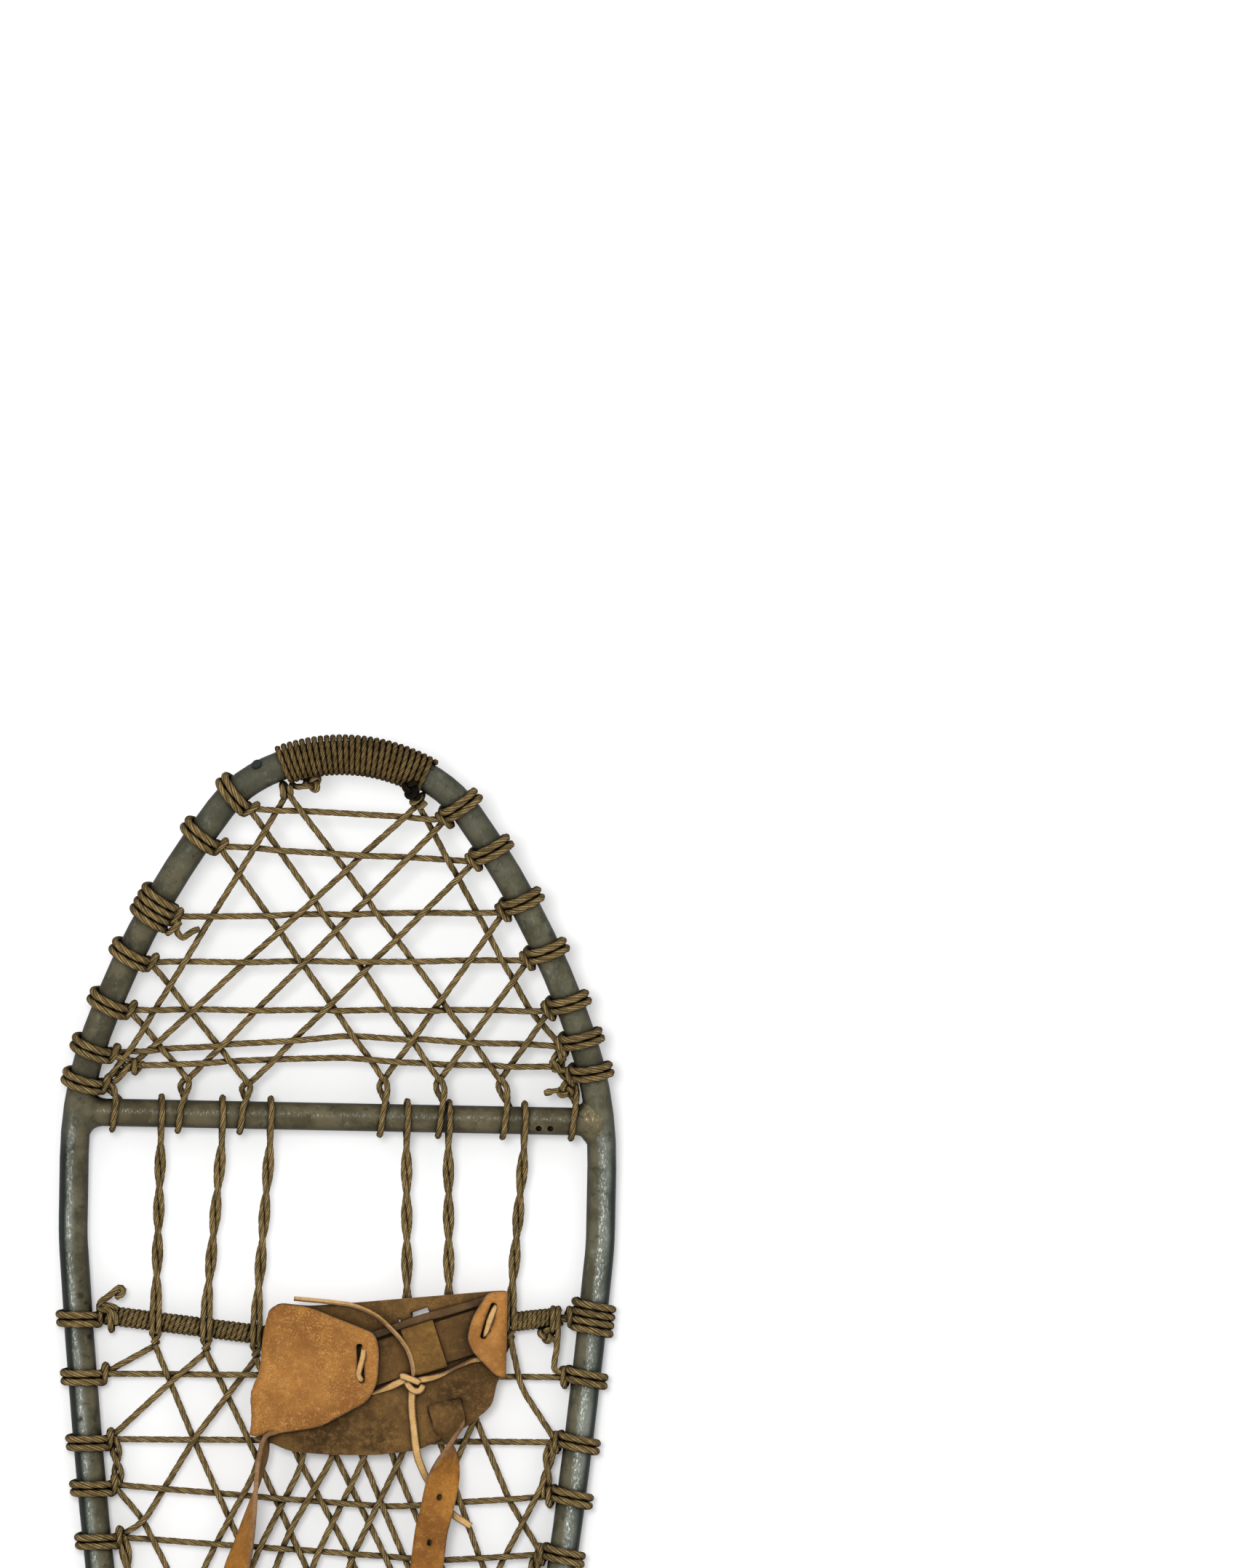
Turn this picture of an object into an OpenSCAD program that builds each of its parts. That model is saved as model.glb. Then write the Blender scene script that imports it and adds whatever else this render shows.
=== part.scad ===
// Metal-framed snowshoe with a cord net and a leather binding, in millimetres.
// X points right, Y points to the toe, Z points up, and the shoe lies flat on Z = 0.
// Shoe coordinates put Y = 0 on the front crossbar and Z = 0 on the frame tube's axis.

/* [Frame] */
// Outside diameter of the frame tube
tube_d = 16; // [15:0.5:18]
// Wall of the frame tube
tube_wall = 1.6; // [1.2:0.1:2.2]
// Overall width across the frame tubes
frame_w = 306; // [300:1:316]
// Overall length of the frame from toe to tail
frame_len = 1220; // [1160:5:1280]
// Upward tilt of the toe
toe_tilt = 10; // [8:0.5:12]
// Radius of the bend that lifts the toe
toe_bend_r = 200; // [160:10:240]
// Turn of the toe arc on each side
toe_a = 32; // [31:0.5:34]
// Radius of the shoulder arc
shoulder_r = 66; // [62:1:72]
// Turn of the shoulder arc
shoulder_a = 22; // [20:0.5:24]
// Radius of the long flank arc
flank_r = 480; // [460:5:500]
// Turn of the long flank arc
flank_a = 17; // [16:0.5:18]
// Radius of the cheek arc beside the crossbar
cheek_r = 215; // [205:5:230]
// Lean of the frame at the end of the taper
taper_a = 16; // [14:0.5:18]
// Radius of the reverse arc that leads into the tail
tail_r = 450; // [400:10:500]
// Gap between the two tail tubes
tail_gap = 1.2; // [0.6:0.2:2.4]

/* [Crossbars] */
// Outside diameter of the crossbars
bar_d = 15.2; // [14:0.2:16]
// Diameter of the drain holes in the front crossbar
drain_d = 3.4; // [2.6:0.2:4.4]
// Distance of the rear crossbar behind the front one
rear_bar_y = 455; // [445:1:470]

/* [Net] */
// Diameter of the net cord
cord_d = 3.4; // [2.8:0.1:3.6]
// Diameter of the cord turns round the frame
hitch_d = 4.2; // [3.6:0.1:4.6]
// Diameter of a net knot
knot_d = 7; // [6:0.2:7.6]
// Depth of the flat worn on the underside of the hitches
rest_flat = 0.5; // [0.3:0.1:0.8]

/* [Windings] */
// Diameter of the cord wound round the toe
wrap_d = 3.2; // [2.8:0.1:3.3]
// Turns of cord round the toe
wrap_turns = 22; // [18:1:23]
// Diameter of the bare cross cord
core_d = 4.6; // [4:0.1:5]
// Diameter of the cord wound over the cross cord
serve_d = 3; // [2.6:0.1:3.2]
// Turns on the left of the cross cord
serve_turns_left = 24; // [20:1:24]
// Turns on the right of the cross cord
serve_turns_right = 6; // [4:1:6]

/* [Binding] */
// Thickness of the sole leather
sole_t = 3.2; // [2.6:0.1:3.4]
// Thickness of the cross band and the straps
strap_t = 2.5; // [2:0.1:2.7]
// Width of the heel straps
strap_w = 17.6; // [15:0.2:18.4]
// Width of the cross band
band_w = 23; // [20:0.5:24]
// Diameter of the rawhide lace
lace_d = 2.6; // [2.2:0.1:2.7]
// Spacing of the strap holes
hole_step = 25.6; // [22:0.2:28]
// Diameter of the strap holes
hole_d = 3.6; // [3:0.2:5]

/* [Buckle] */
// Wire diameter of the buckle
wire_d = 3.6; // [3:0.1:4]
// Inside width of the buckle
buckle_w = 20; // [19:0.5:22]
// Distance between the two buckle bars
buckle_l = 26; // [22:1:30]

/* [View] */
// Sub-part to draw

/* [Hidden] */
$fn = 48;

// Clearance between curved faces, and between pieces that only lie close
skin = 0.1;
air = 0.3;
tube_r = tube_d / 2;
bar_r = bar_d / 2;
half_w = frame_w / 2 - tube_r;
axis_h = tube_r + skin + hitch_d - rest_flat;

// Toe arcs as radius and turn, from the tip to the bend
cheek_a = 90 - toe_a - shoulder_a - flank_a;
toe_r = (half_w - shoulder_r * (sin(toe_a + shoulder_a) - sin(toe_a))
  - flank_r * (cos(cheek_a) - sin(toe_a + shoulder_a)) - cheek_r * (1 - cos(cheek_a)))
  / sin(toe_a);
toe_arcs = [[toe_r, toe_a], [shoulder_r, shoulder_a], [flank_r, flank_a], [cheek_r, cheek_a]];
toe_s = toe_r * (1 - cos(toe_a)) + shoulder_r * (cos(toe_a) - cos(toe_a + shoulder_a))
  + flank_r * (cos(toe_a + shoulder_a) - sin(cheek_a)) + cheek_r * sin(cheek_a);
function toe_head(i) = i == 0 ? 0 : toe_head(i - 1) + toe_arcs[i - 1][1];
function toe_start(i) = i == 0 ? [0, toe_s]
  : toe_start(i - 1) + toe_arcs[i - 1][0] * [sin(toe_head(i)) - sin(toe_head(i - 1)),
    cos(toe_head(i)) - cos(toe_head(i - 1))];
function toe_centre(i) = toe_start(i) - toe_arcs[i][0] * [sin(toe_head(i)), cos(toe_head(i))];
function toe_arc_of(s, i = 0) = i == 3 || s >= toe_start(i + 1)[1] ? i : toe_arc_of(s, i + 1);
function toe_heading(s, i) = acos((s - toe_centre(i)[1]) / toe_arcs[i][0]);

// The bend that lifts the toe, in the foot plane
bend_mid_y = -42;
bend_y = bend_mid_y - toe_bend_r * tan(toe_tilt / 2);
toe_y = bend_y + toe_bend_r * sin(toe_tilt);
toe_z = toe_bend_r * (1 - cos(toe_tilt));
bar_s = -toe_y / cos(toe_tilt);
bar_z = toe_z + bar_s * sin(toe_tilt);
function plan_s(y) = (y - toe_y) / cos(toe_tilt);

// Side arcs behind the bend: lean at each end and radius
side_r = 200;
side_a = 4.5;
flat_r = 4000;
flat_a = 6.6;
tail_x = tube_r + tail_gap / 2;
side_x1 = half_w - side_r * (1 - cos(side_a));
side_x2 = side_x1 - flat_r * (cos(side_a) - cos(flat_a));
side_x3 = tail_x + tail_r * (1 - cos(taper_a));
long_r = (side_x2 - side_x3) / (cos(flat_a) - cos(taper_a));
side_y1 = bend_y - side_r * sin(side_a);
side_y2 = side_y1 - flat_r * (sin(flat_a) - sin(side_a));
side_y3 = side_y2 - long_r * (sin(taper_a) - sin(flat_a));
side_y4 = side_y3 - tail_r * sin(taper_a);
toe_tip_y = toe_y + toe_s * cos(toe_tilt);
tail_end = toe_tip_y + tube_r - frame_len;
function side_lean(y) = y > side_y1 ? asin((bend_y - y) / side_r)
  : y > side_y2 ? asin((side_y1 - y) / flat_r + sin(side_a))
  : y > side_y3 ? asin((side_y2 - y) / long_r + sin(flat_a))
  : y > side_y4 ? asin((y - side_y4) / tail_r) : 0;
function side_x(y, a) = y > side_y1 ? half_w - side_r * (1 - cos(a))
  : y > side_y2 ? side_x1 - flat_r * (cos(side_a) - cos(a))
  : y > side_y3 ? side_x2 - long_r * (cos(flat_a) - cos(a))
  : tail_x + tail_r * (1 - cos(a));

// A spot on the tube axis: x, y in its own plane, and the angle of its inward normal
function toe_spot(y, side) = let (s = plan_s(y), i = toe_arc_of(s), h = toe_heading(s, i))
  [side * (toe_centre(i)[0] + toe_arcs[i][0] * sin(h)), s, side > 0 ? 270 - h : h - 90];
function foot_spot(y, side) = let (a = side_lean(y))
  [side * side_x(y, a), y, side > 0 ? 180 - a : a];
function off_spot(p, d) = [p[0] + d * cos(p[2]), p[1] + d * sin(p[2])];

// Net points keep their share of the frame's half width; they were chosen at this one
net_half_w = 145;
function wide(x) = x * half_w / net_half_w;
function in_net(p) = [wide(p[0]), p[1]];

// Hitches: turn radius, knot distance from the tube axis, turn spacing
ring_r = tube_r + skin + hitch_d / 2;
ring_open = 84;
knot_r = knot_d / 2;
eye_x = tube_r + air + knot_r;
turn_step = hitch_d + 0.3;
level = cord_d + 0.3;
knot_h = 2 * (level + cord_d / 2);
end_back = knot_r + air;
knot_sides = 32;

// Where the toe net meets the frame, given along Y
toe_left_y = [177, 154, 114, 88, 61, 36, 18];
toe_right_y = [172, 148, 120, 93, 65, 45, 27];
toe_left_turns = [2, 2, 4, 2, 2, 2, 2];
eye_l = [for (y = toe_left_y) off_spot(toe_spot(y, -1), eye_x)];
eye_r = [for (y = toe_right_y) off_spot(toe_spot(y, 1), eye_x)];
function on_toe(x, y) = [wide(x), plan_s(y)];
side_knot_l = on_toe(-114, 26);
side_knot_r = on_toe(118, 30);

// Toe wrap, its ends and the two net anchors beside it as headings on the toe arc
wrap_from = -24;
wrap_to = 31.5;
wrap_rings = 12;
wrap_path_r = (tube_r + skin + wrap_d / 2) / cos(180 / wrap_rings);
wrap_out_r = wrap_path_r + wrap_d / 2;
toe_c = toe_centre(0);
function toe_polar(h, r) = toe_c + r * [sin(h), cos(h)];
anchor_r = toe_r - wrap_out_r - air - knot_r;
anchor_l = toe_polar(-23.3, anchor_r);
anchor_r_pt = toe_polar(31.5, anchor_r);

// Loops over the crossbar: place along X and the knot where the strands part
loop_x = [for (x = [-123, -87, -53, 24, 56, 91.5, 129]) wide(x)];
split_y = [0, 19, 17, 21, 21.5, 22, 0];
split_x = [0, -83, -49.5, 24.5, 55, 88.5, 0];
bar_ring_r = bar_r + skin + cord_d / 2;
loop_open = 120;
split = [for (i = [0:6]) on_toe(split_x[i], split_y[i])];

// Cross cord: points along its axis
cross_left_y = -113;
cross_right_y = -109;
cross_a = off_spot(foot_spot(cross_left_y, -1), eye_x + end_back);
cross_b = [-40, -121];
cross_c = [100, -111];
cross_d = off_spot(foot_spot(cross_right_y, 1), eye_x + end_back);
core_r = core_d / 2;
serve_rings = 12;
serve_path_r = (core_r + skin + serve_d / 2) / cos(180 / serve_rings);
serve_out_r = serve_path_r + serve_d / 2;
serve_ring_r = serve_out_r + skin + cord_d / 2;
core_ring_r = core_r + skin + cord_d / 2;
function cross_y(x) = x < cross_b[0]
  ? cross_a[1] + (cross_b[1] - cross_a[1]) * (x - cross_a[0]) / (cross_b[0] - cross_a[0])
  : cross_b[1] + (cross_c[1] - cross_b[1]) * (x - cross_b[0]) / (cross_c[0] - cross_b[0]);
cross_turn_l = atan2(cross_b[1] - cross_a[1], cross_b[0] - cross_a[0]);
cross_turn_m = atan2(cross_c[1] - cross_b[1], cross_c[0] - cross_b[0]);

// Doubled cords over the toe hole: place on the crossbar and on the cross cord
hole_left = [[-97.5, -98.5], [-64, -70.5], [-37.5, -43]];
hole_right = [[37.5, 39.5], [60.5, 62.5], [102, 96.5]];
middle_x = [-24, -8, 12];
serve_split = serve_ring_r + cord_d / 2 + air + knot_r;
core_split = core_ring_r + cord_d / 2 + air + knot_r;
function cross_split(x) = let (a = x < cross_b[0] ? cross_turn_l : cross_turn_m,
  d = x < cross_b[0] ? serve_split : core_split) [x + d * sin(a), cross_y(x) - d * cos(a)];
mid_split = [for (x = [hole_left[0][1], hole_left[1][1], hole_left[2][1], middle_x[0],
  middle_x[1], middle_x[2], hole_right[0][1], hole_right[1][1], hole_right[2][1]])
  cross_split(x)];

// Foot net: hitches along Y, and where strands meet the rear crossbar
foot_left_y = [-145, -181, -206, -235, -268, -298, -328, -358, -388, -418];
foot_right_y = [-142, -178, -208, -240, -268, -298, -328, -358, -388, -418];
foot_l = [for (y = foot_left_y) off_spot(foot_spot(y, -1), eye_x)];
foot_r = [for (y = foot_right_y) off_spot(foot_spot(y, 1), eye_x)];
rear_edge = 16.456;
rear_loop_to = foot_spot(-rear_bar_y, 1)[0] - rear_edge;
rear_x = [for (k = [-1, -0.59, -0.19, 0.19, 0.59, 1]) k * rear_loop_to];
rear_split_y = 14;
rear_up = [for (x = rear_x) [x, -rear_bar_y + rear_split_y]];
rear_down = [for (x = rear_x) [x, -rear_bar_y - rear_split_y]];

// Tail net: hitches along Y
tail_net_y = [-495, -540, -585, -630, -675, -720];
tail_l = [for (y = tail_net_y) off_spot(foot_spot(y, -1), eye_x)];
tail_r_eye = [for (y = tail_net_y) off_spot(foot_spot(y, 1), eye_x)];

// Heights of the binding's layers above the tube axis
sole_z = 6.3;
sole_top = sole_z + sole_t;
band_z = sole_top + air;
flap_z = band_z + strap_t + air;
flap_gap_r = (flap_z - sole_top) / 2;
lace_z = sole_top + (flap_z - sole_top) / 2;
fold_a = [-31.5, -103];
fold_b = [-41.5, -176];
fold_x = 90;
fold_right_y = [-94, -141];
slit = [4, 22];

// Straps: hinge lines, directions, and the buckle's bar
strap_hinge_y = -184;
right_strap_x = 59.8;
right_lean = 6;
right_len = 236;
left_strap_x = -33;
left_end = [-50, -330];
left_flat_z = 11.5;
chape_t = 2.3;
wire_r = wire_d / 2;
bar_hole_r = wire_r + air;
chape_out_r = bar_hole_r + chape_t;
chape_z = left_flat_z + strap_t / 2 + skin;
buckle_y = left_end[1] - air - chape_out_r;
buckle_z = chape_z + chape_t - chape_out_r;
prong_slot = 4.6;
prong_slot_l = 8;
prong_w = 3.4;
prong_d = 2.6;

// End plugs of the tail, and the shift that puts the overall box's middle at Y = 0
plug_l = 12;
plug_rim = 2;
y_shift = -(toe_tip_y + wrap_out_r + tail_end - plug_rim) / 2;

steel = [0.55, 0.56, 0.5];
rope = [0.55, 0.45, 0.27];
hide = [0.48, 0.28, 0.13];
thong = [0.8, 0.66, 0.42];
bright = [0.7, 0.7, 0.72];

// Places things in shoe coordinates, and in the tilted plane of the toe
module shoe() translate([0, y_shift, axis_h]) children();
module toe_plane() shoe() translate([0, toe_y, toe_z]) rotate([toe_tilt, 0, 0]) children();

// Straight round bar between two points
module rod(p, q, d) {
  v = q - p;
  translate(p)
    rotate([0, acos(v[2] / norm(v)), atan2(v[1], v[0])])
      cylinder(d = d, h = norm(v));
}

// One straight strand between two knots, held off each by the same distance
module strand(p, q, z) {
  u = (q - p) / norm(q - p);
  a = p + end_back * u;
  b = q - end_back * u;
  rod([a[0], a[1], z], [b[0], b[1], z], cord_d);
}

// A strand with bends, as one tube
function unit(v) = v / norm(v);
function tangent(p, i) = unit(p[min(i + 1, len(p) - 1)] - p[max(i - 1, 0)]);
function tube_ring(p, i, ref, r, n) = let (t = tangent(p, i), b = unit(cross(t, ref)),
  c = cross(b, t)) [for (k = [0:n - 1]) p[i] + r * (cos(360 * k / n) * b + sin(360 * k / n) * c)];
module tube_skin(rings, n) {
  m = len(rings);
  points = [for (ring = rings) for (q = ring) q];
  sides = [for (i = [0:m - 2]) for (k = [0:n - 1]) let (a = i * n + k, b = i * n + (k + 1) % n)
    each [[a, b, b + n], [a, b + n, a + n]]];
  near = [for (k = [1:n - 2]) [0, k + 1, k]];
  far = [for (k = [1:n - 2]) let (o = (m - 1) * n) [o, o + k, o + k + 1]];
  polyhedron(points = points, faces = concat(sides, near, far));
}
module tube_along(p, d, n) tube_skin([for (i = [0:len(p) - 1])
  tube_ring(p, i, [0, 0, 1], d / 2, n)], n);
module bent_strand(p, z) {
  last = len(p) - 1;
  a = p[0] + end_back * unit(p[1] - p[0]);
  b = p[last] + end_back * unit(p[last - 1] - p[last]);
  route = [for (i = [0:last]) let (q = i == 0 ? a : i == last ? b : p[i]) [q[0], q[1], z]];
  tube_along(route, cord_d, 6);
}

// Part of a ring, open towards an angle, lying round the Y axis
module open_turn(r, d, open, towards) rotate([90, 0, 0])
  rotate([0, 0, towards + open / 2])
    rotate_extrude(angle = 360 - open)
      translate([r, 0]) circle(d = d);

// Cord turns round the tube and the knot on the inner side
module hitch(spot, turns) translate([spot[0], spot[1], 0]) rotate([0, 0, spot[2]]) {
  for (i = [0:turns - 1])
    translate([0, (i - (turns - 1) / 2) * turn_step, 0]) open_turn(ring_r, hitch_d, ring_open, 0);
  translate([eye_x, 0, -knot_h / 2]) cylinder(d = knot_d, h = knot_h, $fn = knot_sides);
}
module flat_hitch(spot, turns) difference() {
  hitch(spot, turns);
  translate([spot[0] - tube_d * 2, spot[1] - tube_d * 2, -axis_h - tube_d])
    cube([tube_d * 4, tube_d * 4, tube_d]);
}
module knot(p) translate([p[0], p[1], -knot_h / 2])
  cylinder(d = knot_d, h = knot_h, $fn = knot_sides);

// Doubled cord, one above the other
module pair(p, q) for (side = [-1, 1]) let (up = [0, 0, side * level / 2])
  rod(p + up, q + up, cord_d);

module ring2d(d, wall) difference() {
  circle(d = d);
  circle(d = d - 2 * wall);
}
module bent_tube(r, from, turn, d, wall, lap = 0) {
  more = lap / r * 180 / PI;
  rotate([0, 0, from - more]) rotate_extrude(angle = turn + 2 * more)
    translate([r, 0]) ring2d(d, wall);
}

// The tube runs a little thinner in every second bend and laps into its neighbours there
thin_d = tube_d - 0.1;
lap = 1;
module thick_bend(r, from, turn) bent_tube(r, from, turn, tube_d, tube_wall);
module thin_bend(r, from, turn) bent_tube(r, from, turn, thin_d, tube_wall, lap);
module half_frame() {
  toe_plane() for (i = [0:3]) translate([toe_centre(i)[0], toe_centre(i)[1], 0])
    if (i % 2 == 0) thick_bend(toe_arcs[i][0], 90 - toe_head(i + 1), toe_arcs[i][1]);
    else thin_bend(toe_arcs[i][0], 90 - toe_head(i + 1), toe_arcs[i][1]);
  shoe() {
    translate([half_w, bend_y, toe_bend_r]) rotate([90, 0, 90])
      thick_bend(toe_bend_r, -90, toe_tilt);
    translate([half_w - side_r, bend_y, 0]) thin_bend(side_r, -side_a, side_a);
    translate([side_x1 - flat_r * cos(side_a), side_y1 + flat_r * sin(side_a), 0])
      thick_bend(flat_r, -flat_a, flat_a - side_a);
    translate([side_x2 - long_r * cos(flat_a), side_y2 + long_r * sin(flat_a), 0])
      thin_bend(long_r, -taper_a, taper_a - flat_a);
    translate([tail_x + tail_r, side_y4, 0]) thick_bend(tail_r, 180 - taper_a, taper_a);
    translate([tail_x, tail_end, 0]) rotate([-90, 0, 0])
      linear_extrude(side_y4 - tail_end + lap) ring2d(thin_d, tube_wall);
  }
}

// Rivets of the toe splice: heading, lean out of the vertical, head above the tube or flush
splice_at = [-28.7, 28.7];
splice_lean = 55;
rivet_d = 3.2;
rivet_head_d = 5.6;
rivet_head_t = 1;
sleeve_wall = 1.4;
sleeve_d = tube_d - 2 * tube_wall - 2 * skin;
sleeve_a = 31;
module at_splice(i) toe_plane() translate([toe_c[0], toe_c[1], 0]) rotate([0, 0, -splice_at[i]])
  translate([0, toe_r, 0]) rotate([-splice_lean, 0, 0]) children();
module splice_bores() for (i = [0, 1]) at_splice(i) cylinder(d = rivet_d + 2 * skin, h = tube_d);

// Rivets through both tail tubes
tail_rivet_y = [40, 105];
tail_rivet_d = 5;
tail_head_d = 9;
tail_head_t = 1.6;
module tail_bores() shoe() for (d = tail_rivet_y)
  translate([-tube_d * 2, tail_end + d, 0]) rotate([0, 90, 0])
    cylinder(d = tail_rivet_d + 2 * skin, h = tube_d * 4);

module frame_right() color(steel) difference() {
  half_frame();
  splice_bores();
  tail_bores();
}
module frame_left() color(steel) difference() {
  mirror([1, 0, 0]) half_frame();
  splice_bores();
  tail_bores();
}
module toe_splice_sleeve() color(steel) difference() {
  toe_plane() translate([toe_c[0], toe_c[1], 0])
    bent_tube(toe_r, 90 - sleeve_a, 2 * sleeve_a, sleeve_d, sleeve_wall);
  splice_bores();
}
module splice_rivets() color(bright) for (i = [0, 1]) at_splice(i) {
  translate([0, 0, sleeve_d / 2 - sleeve_wall])
    cylinder(d = rivet_d, h = tube_r - sleeve_d / 2 + sleeve_wall + (i == 0 ? skin : -skin));
  if (i == 0) translate([0, 0, tube_r + skin]) cylinder(d = rivet_head_d, h = rivet_head_t);
}
module tail_rivets() color(bright) shoe() for (d = tail_rivet_y)
  translate([0, tail_end + d, 0]) rotate([0, 90, 0]) {
    reach = tail_x + tube_r + skin;
    translate([0, 0, -reach]) cylinder(d = tail_rivet_d, h = 2 * reach);
    for (side = [-1, 1])
      translate([0, 0, side * (reach + tail_head_t / 2) - tail_head_t / 2])
        cylinder(d = tail_head_d, h = tail_head_t);
  }
module tail_plugs() color(steel) shoe() for (side = [-1, 1])
  translate([side * tail_x, tail_end, 0]) rotate([-90, 0, 0]) {
    cylinder(d = tube_d - 2 * tube_wall - 2 * skin, h = plug_l);
    translate([0, 0, -plug_rim]) cylinder(d = tube_d, h = plug_rim);
  }

// Crossbars, cut to the tubes at each end
cope_gap = 0.3;
cope_l = 60;
module cope(spot) translate([spot[0], spot[1], 0]) rotate([90, 0, spot[2]])
  translate([0, 0, -cope_l / 2]) cylinder(r = tube_r + cope_gap, h = cope_l);
module bar_stock(x, y, d, wall) translate([-x, y, 0]) rotate([0, 90, 0])
  linear_extrude(2 * x) ring2d(d, wall);
weld_from = 6;
weld_to = 10.5;
weld_big = 9.2;
weld_small = 8;
module bead(x, y, side) translate([side * (x - weld_to), y, 0]) rotate([0, side * 90, 0])
  difference() {
    cylinder(r1 = weld_small, r2 = weld_big, h = weld_to - weld_from);
    translate([0, 0, -1]) cylinder(r = bar_r + skin, h = weld_to);
  }
front_spot = toe_spot(0, 1);
rear_spot = foot_spot(-rear_bar_y, 1);
front_spot_left = toe_spot(0, -1);
rear_spot_left = foot_spot(-rear_bar_y, -1);
drain_x = [wide(110), wide(116.4)];
drain_back = 3;
module front_crossbar() color(steel) toe_plane() difference() {
  bar_stock(front_spot[0], bar_s, bar_d, tube_wall);
  cope(front_spot);
  cope(front_spot_left);
  for (x = drain_x) translate([x, bar_s - drain_back, 0]) cylinder(d = drain_d, h = bar_d);
}
module front_crossbar_welds() color(steel) toe_plane() for (side = [-1, 1]) difference() {
  bead(front_spot[0], bar_s, side);
  cope(side > 0 ? front_spot : front_spot_left);
}
module rear_crossbar() color(steel) shoe() difference() {
  bar_stock(rear_spot[0], -rear_bar_y, bar_d, tube_wall);
  cope(rear_spot);
  cope(rear_spot_left);
}
module rear_crossbar_welds() color(steel) shoe() for (side = [-1, 1]) difference() {
  bead(rear_spot[0], -rear_bar_y, side);
  cope(side > 0 ? rear_spot : rear_spot_left);
}

// Cord wound round the toe, and the least gap between neighbouring turns
wrap_steps = wrap_turns * wrap_rings;
function wrap_heading(i) = wrap_from + (wrap_to - wrap_from) * i / wrap_steps;
function wrap_out(i) = let (h = wrap_heading(i), f = 360 * i / wrap_rings)
  [cos(f) * sin(h), cos(f) * cos(h), sin(f)];
function wrap_point(i) = let (h = wrap_heading(i))
  [toe_c[0] + toe_r * sin(h), toe_c[1] + toe_r * cos(h), 0] + wrap_path_r * wrap_out(i);
wrap_path = [for (i = [0:wrap_steps]) wrap_point(i)];
echo(toe_wrap_least_gap = min([for (i = [0:wrap_steps - wrap_rings])
  norm(wrap_path[i] - wrap_path[i + wrap_rings])]) - wrap_d);
module toe_wrap() color(rope) toe_plane() tube_skin([for (i = [0:wrap_steps])
  tube_ring(wrap_path, i, wrap_out(i), wrap_d / 2, 6)], 6);

module toe_hitches() color(rope) toe_plane() {
  for (i = [0:6]) {
    hitch(toe_spot(toe_left_y[i], -1), toe_left_turns[i]);
    hitch(toe_spot(toe_right_y[i], 1), 2);
  }
  for (p = [side_knot_l, side_knot_r, anchor_l, anchor_r_pt]) knot(p);
}
module toe_rows() color(rope) toe_plane() {
  for (i = [0:4]) strand(eye_l[i], eye_r[i], 0);
  bent_strand([eye_l[5], on_toe(4, 44.5), eye_r[5]], 0);
  bent_strand([side_knot_l, on_toe(4, 33), on_toe(57, 29.5), side_knot_r], 0);
  strand(eye_l[5], side_knot_l, 0);
  strand(side_knot_l, eye_l[6], 0);
  strand(eye_r[5], side_knot_r, 0);
  strand(side_knot_r, eye_r[6], 0);
}
module toe_diagonals_left() color(rope) toe_plane() {
  strand(eye_l[0], split[4], level);
  strand(eye_l[1], split[3], level);
  strand(eye_l[3], split[2], level);
  strand(eye_l[4], split[1], level);
  strand(anchor_l, split[5], level);
  bent_strand([anchor_r_pt, on_toe(104, 60), eye_r[5]], level);
}
module toe_diagonals_right() color(rope) toe_plane() {
  bent_strand([anchor_l, on_toe(-113, 38), eye_l[6]], -level);
  strand(anchor_r_pt, side_knot_l, -level);
  strand(eye_r[0], split[1], -level);
  strand(eye_r[1], split[2], -level);
  strand(eye_r[2], split[3], -level);
  strand(eye_r[3], split[4], -level);
  strand(eye_r[4], split[5], -level);
}

// Turn of cord round a crossbar, open to the front or to the rear
module bar_turn(x, s, towards) translate([x, s, 0]) rotate([0, 0, 90])
  open_turn(bar_ring_r, cord_d, loop_open, towards);
leg_from = bar_r + air;
module toe_crossbar_loops() color(rope) toe_plane() for (i = [0:6]) {
  end = i == 0 ? eye_l[6] : i == 6 ? eye_r[6] : split[i];
  slant = abs(unit(end - [loop_x[i], bar_s + leg_from])[0]);
  start = [loop_x[i], bar_s + leg_from + slant * cord_d / 2];
  stop = end - end_back * unit(end - start);
  bar_turn(loop_x[i], bar_s, 0);
  pair([start[0], start[1], 0], [stop[0], stop[1], 0]);
  if (i > 0 && i < 6) knot(split[i]);
}

// Doubled cord over the toe hole: turn round the crossbar, turn round the cross cord, knot
module hole_cord(x, ring) {
  turn = x[1] < cross_b[0] ? cross_turn_l : cross_turn_m;
  out_r = x[1] < cross_b[0] ? serve_out_r : core_r;
  toe_plane() bar_turn(x[0], bar_s, 180);
  shoe() {
    top = [x[0], -leg_from * cos(toe_tilt), bar_z - leg_from * sin(toe_tilt)];
    seat = [x[1], cross_y(x[1]), 0];
    low = [x[1] - (out_r + air) * sin(turn), cross_y(x[1]) + (out_r + air) * cos(turn), 0];
    pair(top, low);
    translate(seat) rotate([0, 0, 90 + turn]) open_turn(ring, cord_d, loop_open, 0);
    knot(cross_split(x[1]));
  }
}
module toe_hole_cords_left() color(rope) for (x = hole_left) hole_cord(x, serve_ring_r);
module toe_hole_cords_right() color(rope) for (x = hole_right) hole_cord(x, core_ring_r);
module foot_cord_loops() color(rope) shoe() for (x = middle_x) {
  translate([x, cross_y(x), 0]) rotate([0, 0, 90 + cross_turn_m])
    open_turn(core_ring_r, cord_d, loop_open, 180);
  knot(cross_split(x));
}

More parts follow.
